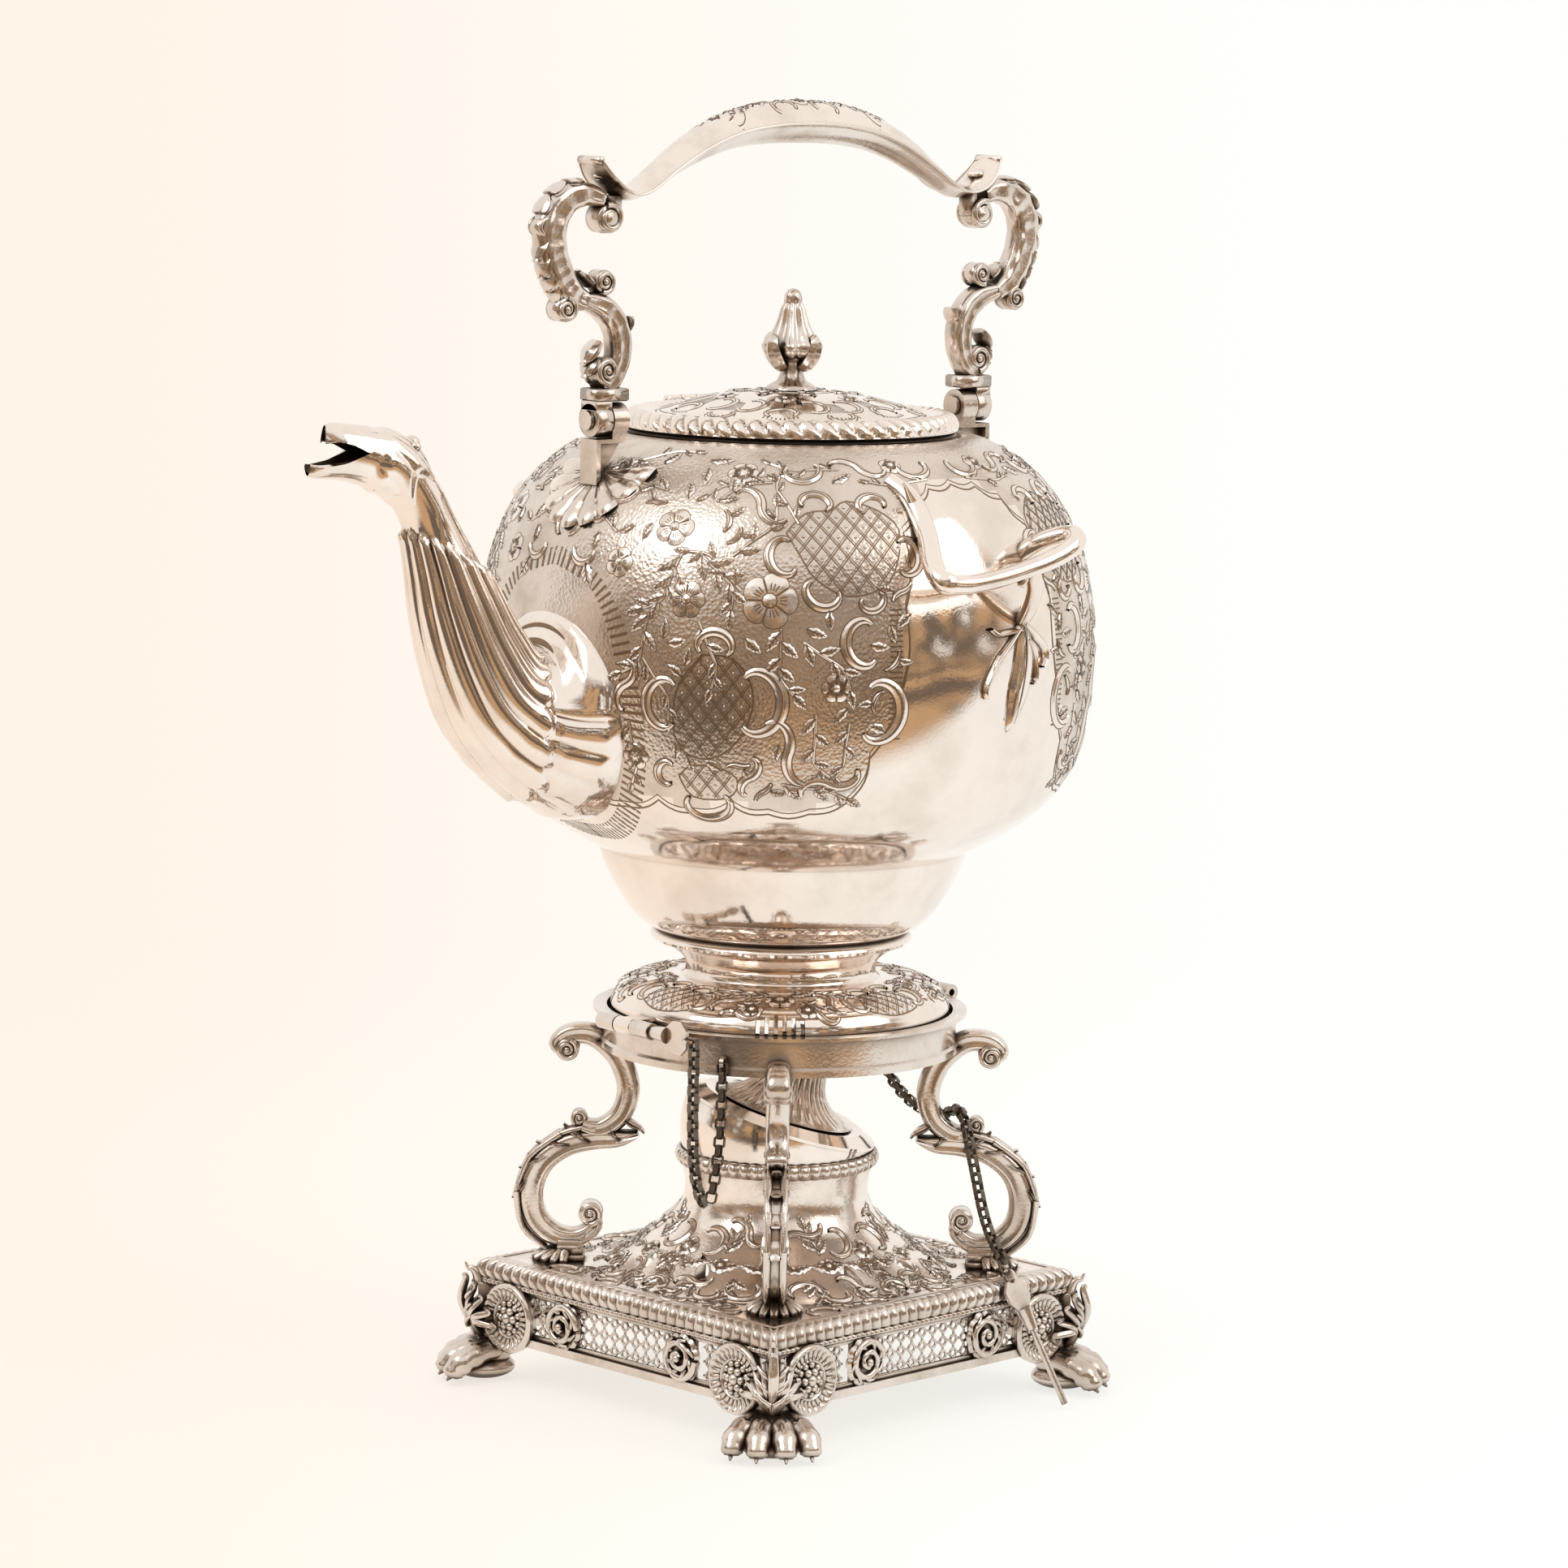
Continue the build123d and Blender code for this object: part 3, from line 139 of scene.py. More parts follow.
class Tree:
    """Short hand for adding and linking shader nodes."""

    def __init__(self, tree):
        self.tree = tree

    def node(self, kind, sockets=None, **settings):
        made = self.tree.nodes.new(kind)
        for name, value in settings.items():
            setattr(made, name, value)
        for name, value in (sockets or {}).items():
            if isinstance(value, bpy.types.NodeSocket):
                self.tree.links.new(value, made.inputs[name])
            else:
                made.inputs[name].default_value = value
        return made

    def maths(self, operation, first, second=0, third=0, clamp=False):
        made = self.node("ShaderNodeMath", {0: first, 1: second, 2: third}, operation=operation)
        made.use_clamp = clamp
        return made.outputs[0]

    def mix(self, share, first, second, blend="MIX"):
        made = self.node("ShaderNodeMix", {0: share, 6: first, 7: second}, data_type="RGBA")
        made.blend_type = blend
        return made.outputs[2]

    def ramp(self, value, low, high):
        sockets = {"Value": value, "From Min": low, "From Max": high}
        return self.node("ShaderNodeMapRange", sockets, interpolation_type="SMOOTHSTEP").outputs[0]

    def noise(self, place, scale, detail, roughness=0.5):
        sockets = {"Vector": place, "Scale": scale, "Detail": detail, "Roughness": roughness}
        return self.node("ShaderNodeTexNoise", sockets).outputs[0]

    def along(self, place, way):
        """How far a place lies along a direction."""
        sockets = {0: place, 1: tuple(way)}
        return self.node("ShaderNodeVectorMath", sockets, operation="DOT_PRODUCT").outputs["Value"]

    def either(self, share, first, second):
        return self.node("ShaderNodeMixShader", {0: share, 1: first, 2: second}).outputs[0]

    def glow(self, shade):
        return self.node("ShaderNodeEmission", {"Color": shade, "Strength": 1}).outputs[0]


def placed(name, data):
    """A new object in the scene."""
    made = bpy.data.objects.new(name, data)
    bpy.context.scene.collection.objects.link(made)
    return made


def new_material(name):
    """A material with its tree and shader."""
    material = bpy.data.materials.new(name)
    material.use_nodes = True
    return material, Tree(material.node_tree), material.node_tree.nodes["Principled BSDF"]


def colour(value):
    """An RGBA value from an RGB one."""
    return (*value[:3], 1)


def patina_and_shade_group():
    """Node group: silver that is bright on high places and dark in recesses, where an occlusion mask paints patina
    and shade, with a slow tarnish.
    """
    name = "Patina_and_shade"
    if name in bpy.data.node_groups:
        return bpy.data.node_groups[name]
    group = bpy.data.node_groups.new(name, "ShaderNodeTree")
    for way, kind, labels in (
        ("INPUT", "Color", ("Bright", "Tarnish", "Recess")),
        ("INPUT", "Float", ("Tarnish Share", "Recess Share", "Reach", "Gloss", "Pitting")),
        ("OUTPUT", "Color", ("Color",)), ("OUTPUT", "Float", ("Roughness", "Height")),
    ):
        for label in labels:
            group.interface.new_socket(label, in_out=way, socket_type=f"NodeSocket{kind}")
    make = Tree(group)
    given = make.node("NodeGroupInput").outputs
    place = make.node("ShaderNodeTexCoord").outputs["Object"]
    clouds = make.noise(place, 34, 5, 0.62)
    pits = make.noise(place, 900, 3, 0.6)
    # the occlusion mask paints the recess colour where shade falls: partly patina, partly painted shade
    shelter = make.node("ShaderNodeAmbientOcclusion", {"Distance": given["Reach"]}, samples=6)
    hidden = make.ramp(shelter.outputs["AO"], 0.92, 0.38)
    cloudy = make.ramp(clouds, 0.4, 0.72)
    recess_patina_and_shade = make.maths("MULTIPLY", make.maths("MULTIPLY", hidden, given["Recess Share"]),
                       make.maths("MULTIPLY_ADD", clouds, 0.8, 0.6), clamp=True)
    body = make.mix(make.maths("MULTIPLY", cloudy, given["Tarnish Share"]), given["Bright"], given["Tarnish"])
    shade = make.mix(recess_patina_and_shade, body, given["Recess"])
    spread = make.maths("MULTIPLY_ADD", cloudy, 0.07, given["Gloss"])
    rough = make.maths("MULTIPLY_ADD", recess_patina_and_shade, 0.35, spread)
    made = make.node("NodeGroupOutput")
    for label, value in (("Color", shade), ("Roughness", rough),
                         ("Height", make.maths("MULTIPLY", pits, given["Pitting"]))):
        make.tree.links.new(value, made.inputs[label])
    return group


def metal(name, bright=None, tarnish=0.5, recess=0.9, gloss=0.12, pitting=0.4, reach=None, relief=None):
    """A silver finish. relief(make, place) may add its own height to the pitting."""
    known = bpy.data.materials.get(name)
    if known:
        return known
    finish = bpy.context.scene.kettle_finish
    material, make, shader = new_material(name)
    shader.inputs["Metallic"].default_value = 1.0
    aged = make.node("ShaderNodeGroup", node_tree=patina_and_shade_group())
    values = {
        "Bright": colour(bright or finish.bright), "Tarnish": colour(finish.tarnish),
        "Recess": colour(finish.recess), "Tarnish Share": tarnish, "Recess Share": recess,
        "Reach": reach or finish.recess_depth, "Gloss": gloss, "Pitting": pitting,
    }
    for label, value in values.items():
        aged.inputs[label].default_value = value
    make.tree.links.new(aged.outputs["Color"], shader.inputs["Base Color"])
    make.tree.links.new(aged.outputs["Roughness"], shader.inputs["Roughness"])
    height = aged.outputs["Height"]
    if relief:
        place = make.node("ShaderNodeTexCoord").outputs["Object"]
        height = make.maths("ADD", height, relief(make, place))
    bump = make.node("ShaderNodeBump", {"Height": height, "Distance": 0.0003, "Strength": 0.25})
    make.tree.links.new(bump.outputs[0], shader.inputs["Normal"])
    return material


def polished():
    return metal("silver_polished", tarnish=0.3, recess=0.8, gloss=0.06, pitting=0.25)


def chased():
    return metal("silver_chased", tarnish=0.55, recess=1, gloss=0.15, pitting=0.8)


def matted():
    """The ground between chased motifs: dulled by close rows of punched dots."""
    def punched(make, place):
        dots = make.node("ShaderNodeTexVoronoi", {"Vector": place, "Scale": 900})
        return make.maths("MULTIPLY", dots.outputs["Distance"], 1.6)

    finish = bpy.context.scene.kettle_finish
    dull = tuple((3 * one + 2 * two) / 5 for one, two in zip(finish.bright, finish.tarnish))
    return metal("silver_matted", bright=dull, tarnish=0.8, recess=1, gloss=0.2, pitting=1, relief=punched)


def cast():
    finish = bpy.context.scene.kettle_finish
    worn = tuple(0.86 * part for part in finish.bright)
    return metal("silver_cast", bright=worn, tarnish=0.8, recess=1, gloss=0.13, pitting=0.7, reach=0.005)


def oxidised():
    finish = bpy.context.scene.kettle_finish
    return metal("silver_oxidised", bright=tuple(finish.oxide), tarnish=0.1, recess=0.9, gloss=0.3, pitting=1)


# dark lines along and beside the chasing, and inside the spout: patina with painted shade
def patina_and_shade_line():
    finish = bpy.context.scene.kettle_finish
    return metal("patina_and_shade_line", bright=tuple(min(1, 2.4 * part) for part in finish.recess), tarnish=0,
                 recess=0.6, gloss=0.4, pitting=1)


def cotton():
    """The lamp's wick: twisted cotton."""
    known = bpy.data.materials.get("cotton_wick")
    if known:
        return known
    material, make, shader = new_material("cotton_wick")
    place = make.node("ShaderNodeTexCoord").outputs["Object"]
    strands = make.node("ShaderNodeTexWave", {"Vector": place, "Scale": 700, "Distortion": 3})
    shade = make.mix(strands.outputs[1], (0.5, 0.42, 0.32, 1), (0.8, 0.74, 0.62, 1))
    make.tree.links.new(shade, shader.inputs["Base Color"])
    shader.inputs["Roughness"].default_value = 0.9
    bump = make.node("ShaderNodeBump", {"Height": strands.outputs[1], "Distance": 0.0004})
    make.tree.links.new(bump.outputs[0], shader.inputs["Normal"])
    return material


def dress(material, *nodes):
    """Gives CAD nodes their finish."""
    for name in nodes:
        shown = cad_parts[name]
        shown.data.materials.clear()
        shown.data.materials.append(material)


# ---- stage


def stage_axes(stage):
    """The level directions to the camera's right and away from it."""
    away = Vector((cos(stage.camera_azimuth), sin(stage.camera_azimuth), 0))
    return Vector((away.y, -away.x, 0)), away


def sideways(make, place, stage, toward):
    """How far a place or direction lies to the camera's right, as a share of its distance."""
    right, away = stage_axes(stage)
    return make.maths("DIVIDE", make.along(place, right), make.maths("ADD", make.along(place, away), toward))


class KETTLE_OT_stage(bpy.types.Operator):
    """Makes the floor, the room that the silver mirrors, the lamps and the camera"""

    bl_idname = "kettle.stage"
    bl_label = "Stage"

    def execute(self, context):
        stage = context.scene.kettle_stage
        right, away = stage_axes(stage)
        context.scene.view_settings.view_transform = "Standard"
        self.floor(stage)
        self.room(context.scene, stage)
        self.lamps(right, away)
        self.camera(context.scene, stage, right, away)
        return {"FINISHED"}

    def floor(self, stage):
        reach = 14.0
        mesh = bpy.data.meshes.new("floor")
        mesh.from_pydata([(-reach, -reach, 0), (reach, -reach, 0), (reach, reach, 0), (-reach, reach, 0)],
                         [], [(0, 1, 2, 3)])
        floor = placed("floor", mesh)
        material, make, _ = new_material("floor_white")
        make.tree.nodes.clear()
        place = make.node("ShaderNodeTexCoord").outputs["Object"]
        lean = make.ramp(sideways(make, place, stage, stage.camera_distance), -0.16, 0.1)
        shade = make.mix(lean, colour(stage.peach), colour(stage.white))
        distance = make.node("ShaderNodeVectorMath", {0: place}, operation="LENGTH").outputs["Value"]
        near = make.maths("MULTIPLY", make.ramp(distance, 0.9, 0.25), 0.22)
        # past the table's edge in front of the kettle, the metal mirrors the dim room's floor
        before = make.along(place, -stage_axes(stage)[1])
        spots = make.noise(place, 1.1, 1)
        ground = make.mix(make.ramp(spots, 0.46, 0.56), colour(stage.room), colour(stage.tan))
        cloth = make.node("ShaderNodeBsdfDiffuse", {"Color": shade}).outputs[0]
        seen = make.either(near, make.glow(shade), cloth)
        rays = make.node("ShaderNodeLightPath").outputs
        off_table = make.maths("MULTIPLY", make.ramp(before, 0.3, 0.46), rays["Is Glossy Ray"])
        seen = make.either(off_table, seen, make.glow(ground))
        mirrored = make.maths("ADD", rays["Is Glossy Ray"], rays["Is Transmission Ray"])
        direct = make.maths("ADD", rays["Is Camera Ray"], mirrored, clamp=True)
        make.node("ShaderNodeOutputMaterial", {"Surface": make.either(direct, cloth, seen)})
        mesh.materials.append(material)

    def room(self, scene, stage):
        world = bpy.data.worlds.new("studio")
        scene.world = world
        world.use_nodes = True
        make = Tree(world.node_tree)
        make.tree.nodes.clear()
        place = make.node("ShaderNodeTexCoord").outputs["Generated"]
        lean = make.ramp(sideways(make, place, stage, 0), -0.16, 0.1)
        backdrop = make.mix(lean, colour(stage.peach), colour(stage.white))
        # the dim room behind the camera, with warm lit patches, seen only by the mirror-like metal
        facing = make.along(place, -stage_axes(stage)[1])
        height = make.node("ShaderNodeSeparateXYZ", {0: place}).outputs[2]
        band = make.maths("MULTIPLY", make.ramp(height, -0.6, -0.45), make.ramp(height, 0.58, 0.4))
        dim = make.maths("MULTIPLY", make.ramp(facing, -0.15, 0.12), band)
        patches = make.noise(place, 4.2, 3, 0.55)
        wall = make.mix(make.ramp(patches, 0.5, 0.6), colour(stage.room), colour(stage.tan))
        windows = make.ramp(patches, 0.45, 0.41)
        wall = make.mix(windows, wall, (1, 0.95, 0.88, 1))
        mirrored = make.mix(dim, (1, 0.97, 0.93, 1), wall)
        rays = make.node("ShaderNodeLightPath").outputs
        shown = make.mix(rays["Is Glossy Ray"], (1, 1, 1, 1), mirrored)
        shown = make.mix(rays["Is Camera Ray"], shown, backdrop)
        glow = make.node("ShaderNodeBackground", {"Color": shown, "Strength": 1}).outputs[0]
        make.node("ShaderNodeOutputWorld", {"Surface": glow})

    def lamps(self, right, away):
        for name, side, depth, height, size, power in (
            ("key", -0.9, -0.7, 1.3, 0.8, 5), ("fill", 1, -0.5, 0.9, 0.9, 3),
        ):
            light = bpy.data.lights.new(name, "AREA")
            light.size = size
            light.energy = power
            lamp = placed(name, light)
            lamp.location = right * side + away * depth + Vector((0, 0, height))
            aim = Vector((0, 0, 0.2)) - lamp.location
            lamp.rotation_euler = aim.to_track_quat("-Z", "Y").to_euler()

    def camera(self, scene, stage, right, away):
        level = cos(stage.camera_pitch)
        drop = sin(stage.camera_pitch)
        forward = away * level - Vector((0, 0, drop))
        upward = right.cross(forward)
        across = right * cos(stage.camera_roll) + upward * sin(stage.camera_roll)
        upright = upward * cos(stage.camera_roll) - right * sin(stage.camera_roll)
        data = bpy.data.cameras.new("camera")
        data.sensor_width = 36.0
        data.lens = stage.lens
        camera = placed("camera", data)
        turn = Matrix((across, upright, -forward)).transposed().to_4x4()
        spot = Vector((0, 0, stage.camera_height)) - away * stage.camera_distance
        camera.matrix_world = Matrix.Translation(spot) @ turn
        scene.camera = camera


# ---- lines and forms, in millimetres


def smooth(points, steps=6):
    """Points along a Catmull-Rom curve; every number of a point is carried along, such as a width."""
    line = []
    for index in range(len(points) - 1):
        a = points[max(index - 1, 0)]
        b, c = points[index], points[index + 1]
        d = points[min(index + 2, len(points) - 1)]
        for step in range(steps):
            t = step / steps
            line.append(tuple(
                0.5 * (2 * q + (r - p) * t + (2 * p - 5 * q + 4 * r - s) * t * t + (3 * q - p - 3 * r + s) * t ** 3)
                for p, q, r, s in zip(a, b, c, d)
            ))
    return line + [tuple(points[-1])]


def arcs(points, start, steps=8):
    """Points along arcs through these points, each arc tangent to the one before."""
    line = [points[0]]
    tangent = atan2(start[1], start[0])
    for (x, y), (next_x, next_y) in zip(points, points[1:]):
        half = (atan2(next_y - y, next_x - x) - tangent + pi) % TURN - pi
        length = hypot(next_x - x, next_y - y)
        for step in range(1, steps + 1):
            turn = half * step / steps
            reach = length * (sin(turn) / sin(half) if abs(half) > 1e-4 else step / steps)
            line.append((x + reach * cos(tangent + turn), y + reach * sin(tangent + turn)))
        tangent += 2 * half
    return line


def left_of(line, index):
    """The flat direction to the left of a line at one of its points."""
    before, after = line[max(index - 1, 0)], line[min(index + 1, len(line) - 1)]
    x, y = after[0] - before[0], after[1] - before[1]
    size = hypot(x, y) or 1
    return -y / size, x / size


def shifted(line, distance):
    """An outline moved to its right-hand side."""
    left = [left_of(line, index) for index in range(len(line))]
    return [(x - distance * a, y - distance * b) for (x, y), (a, b) in zip(line, left)]


def spun(angle, origin=(0, 0, 0)):
    """A turn about the Z axis by degrees, after a move to origin."""
    return Matrix.Rotation(radians(angle), 4, "Z") @ Matrix.Translation(origin)


class Form:
    """A growing mesh: points in millimetres, and faces that each name one of the piece's finishes."""

    def __init__(self):
        self.points = []
        self.faces = []
        self.finishes = []

    def skin(self, rows, finish=0, ring=False, loop=False, ends=False, bands=None, flip=False):
        """Faces between rows of points. bands names the finish of each strip along the rows."""
        start, width = len(self.points), len(rows[0])
        for row in rows:
            self.points.extend(Vector(point) for point in row)
        for i in range(len(rows) if loop else len(rows) - 1):
            for j in range(width if ring else width - 1):
                low, high = start + i * width, start + (i + 1) % len(rows) * width
                face = (low + j, low + (j + 1) % width, high + (j + 1) % width, high + j)
                self.faces.append(face[::-1] if flip else face)
                self.finishes.append(bands[j] if bands else finish)
        if ends:
            first = tuple(range(start + width - 1, start - 1, -1))
            last = tuple(range(start + (len(rows) - 1) * width, start + len(rows) * width))
            for face in (first, last):
                self.faces.append(face[::-1] if flip else face)
                self.finishes.append(finish)
        return self

    def lathe(self, outline, segments, closed=False, wave=None, skip=None, choose=None):
        """Turns an outline about Z. wave(angle, share, r, z) may move a point, skip may leave a face out."""
        rows = []
        for index, (r, z) in enumerate(outline):
            row = []
            for segment in range(segments):
                angle = TURN * segment / segments
                radius, height = wave(angle, index, r, z) if wave else (r, z)
                row.append((radius * cos(angle), radius * sin(angle), height))
            rows.append(row)
        first = len(self.faces)
        self.skin(rows, ring=True, loop=closed)
        if skip or choose:
            kept = []
            for face in range(first, len(self.faces)):
                row, segment = divmod(face - first, segments)
                angle = 360 * (segment + 0.5) / segments
                if skip and skip(angle, outline[row]):
                    continue
                kept.append((self.faces[face], choose(angle, outline[row]) if choose else 0))
            self.faces[first:] = [face for face, _ in kept]
            self.finishes[first:] = [chosen for _, chosen in kept]
        return self

    def sweep(self, line, section, normal=None, loop=False):
        """Carries section(index) along a line. normal keeps the section's second axis square to a plane."""
        line = [Vector(point[:3]) for point in line]
        rows = []
        side = Vector(normal) if normal else None
        for index, point in enumerate(line):
            if loop:
                along = line[(index + 1) % len(line)] - line[index - 1]
            else:
                along = line[min(index + 1, len(line) - 1)] - line[max(index - 1, 0)]
            along.normalize()
            if side is None:
                side = along.orthogonal()
            side = (side - along * side.dot(along)).normalized()
            across = along.cross(side)
            rows.append([point + across * u + side * v for u, v in section(index)])
        return self.skin(rows, ring=True, ends=not loop, loop=loop)

    def rod(self, first, last, radius, last_radius=None, sides=24, edge=0):
        """A round bar or cone between two points, its ends eased by edge."""
        first, last = Vector(first), Vector(last)
        last_radius = radius if last_radius is None else last_radius
        along = (last - first).normalized()
        stops = [(0, radius - edge), (edge, radius), ((last - first).length - edge, last_radius),
                 ((last - first).length, last_radius - edge)]
        if not edge:
            stops = [stops[0], stops[-1]]
        sizes = [size for _, size in stops]
        line = [first + along * reach for reach, _ in stops]
        return self.sweep(line, lambda index: round_section(sizes[index], sides))

    def ball(self, centre, radius, squash=1, sides=16, wave=None):
        """A ball, flattened along Z by squash. wave(angle) may lobe it."""
        rows = []
        for ring in range(sides // 2 + 1):
            tilt = pi * ring / (sides // 2)
            row = []
            for step in range(sides):
                angle = TURN * step / sides
                reach = radius * sin(tilt) * (wave(angle) if wave else 1)
                row.append((centre[0] + reach * cos(angle), centre[1] + reach * sin(angle),
                            centre[2] - radius * squash * cos(tilt)))
            rows.append(row)
        return self.skin(rows, ring=True)

    def block(self, low, high, edge=0.2):
        """A box with eased edges."""
        rows = []
        for z, inward in ((low[2], edge), (low[2] + edge, 0), (high[2] - edge, 0), (high[2], edge)):
            a, b, c, d = low[0] + inward, high[0] - inward, low[1] + inward, high[1] - inward
            rows.append([(a, c, z), (b, c, z), (b, d, z), (a, d, z)])
        return self.skin(rows, ring=True, ends=True)

    def add(self, other, place=None):
        """Adds another form, placed by a matrix; a mirrored copy keeps its faces outwards."""
        start = len(self.points)
        place = place or Matrix.Identity(4)
        self.points.extend(place @ point for point in other.points)
        turned_over = place.determinant() < 0
        for face in other.faces:
            face = tuple(start + corner for corner in face)
            self.faces.append(face[::-1] if turned_over else face)
        self.finishes.extend(other.finishes)
        return self

    def make(self, name, body, finishes, replaces=(), sharp=60):
        """The piece as an object that rides on a body."""
        mesh = bpy.data.meshes.new(name)
        mesh.from_pydata([point * MM for point in self.points], [], self.faces)
        mesh.validate()
        for finish in finishes:
            mesh.materials.append(finish)
        if len(mesh.polygons) == len(self.finishes):
            mesh.polygons.foreach_set("material_index", self.finishes)
        mesh.shade_smooth()
        mesh.set_sharp_from_angle(angle=radians(sharp))
        piece = placed(name, mesh)
        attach(piece, body)
        if replaces:
            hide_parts(*replaces)
        return piece


def round_section(radius, sides=16, squash=1, ribs=0, depth=0):
    """A round cross-section, which may be flattened or ribbed."""
    points = []
    for side in range(sides):
        angle = TURN * side / sides
        reach = radius * (1 + depth * cos(ribs * angle))
        points.append((reach * cos(angle), reach * squash * sin(angle)))
    return points


def tapered(radius, fall=0, sides=8):
    """Round sections that shrink by fall from each point of a swept line to the next."""
    return lambda index: round_section(radius - fall * index, sides)


def scroll_line(length, bend, curl, opposed=False, steps=30, width=1, thin=0.35):
    """A C-scroll, or an S-scroll if opposed, as (x, y, width) points round its middle. Its ends curl in."""
    heading, x, y = 0.0, 0.0, 0.0
    line = []
    for step in range(steps + 1):
        t = 2 * step / steps - 1
        line.append((x, y, width * (thin + (1 - thin) * (1 - t * t))))
        turn = bend * (1 + curl * abs(t) ** 3) / steps
        heading += turn * (-1 if opposed and t < 0 else 1)
        x += length / steps * cos(heading)
        y += length / steps * sin(heading)
    middle_x = (max(p[0] for p in line) + min(p[0] for p in line)) / 2
    middle_y = (max(p[1] for p in line) + min(p[1] for p in line)) / 2
    lean = atan2(line[-1][1] - line[0][1], line[-1][0] - line[0][0])
    return [turned((x - middle_x, y - middle_y, size), -lean) for x, y, size in line]


def turned(point, angle):
    """A flat point turned about the origin; further numbers are kept."""
    x, y = point[:2]
    return (x * cos(angle) - y * sin(angle), x * sin(angle) + y * cos(angle), *point[2:])


class Turned:
    """A turned surface, walked on by azimuth in degrees and by distance along its outline."""

    def __init__(self, line):
        self.line = line
        self.runs = [0]
        for a, b in zip(line, line[1:]):
            self.runs.append(self.runs[-1] + hypot(b[0] - a[0], b[1] - a[1]))

    def spot(self, run):
        """Radius, height and the outward direction there."""
        run = min(max(run, 0), self.runs[-1] - 1e-6)
        index = next(i for i in range(len(self.runs) - 1) if self.runs[i + 1] > run)
        a, b = self.line[index], self.line[index + 1]
        span = self.runs[index + 1] - self.runs[index]
        share = (run - self.runs[index]) / span
        return (a[0] + (b[0] - a[0]) * share, a[1] + (b[1] - a[1]) * share,
                (b[1] - a[1]) / span, (a[0] - b[0]) / span)

    def run_at(self, height):
        """The distance along the outline at which it first passes a height."""
        for index in range(len(self.line) - 1):
            low, high = self.line[index][1], self.line[index + 1][1]
            if min(low, high) <= height <= max(low, high) and low != high:
                share = (height - low) / (high - low)
                return self.runs[index] + share * (self.runs[index + 1] - self.runs[index])
        return self.runs[-1] / 2

    def at(self, angle, run, lift=0):
        radius, height, out, up = self.spot(run)
        reach = radius + out * lift
        return (reach * cos(radians(angle)), reach * sin(radians(angle)), height + up * lift)

    def flat(self, place, x, y):
        """A point of a motif, in millimetres round its place, as azimuth and distance."""
        run = place[1] + y
        return place[0] + degrees(x / max(self.spot(run)[0], 5)), run


class Plate:
    """A flat surface of the stand, walked on in the same way, by x and y."""

    def __init__(self, matrix):
        self.matrix = matrix

    def at(self, x, y, lift=0):
        return self.matrix @ Vector((x, y, lift))

    def flat(self, place, x, y):
        return place[0] + x, place[1] + y


def round_copies(count, start=0):
    """Copies of a motif, evenly round the axis."""
    return [lambda angle, run, turn=start + 360 * k / count: (angle + turn, run) for k in range(count)]


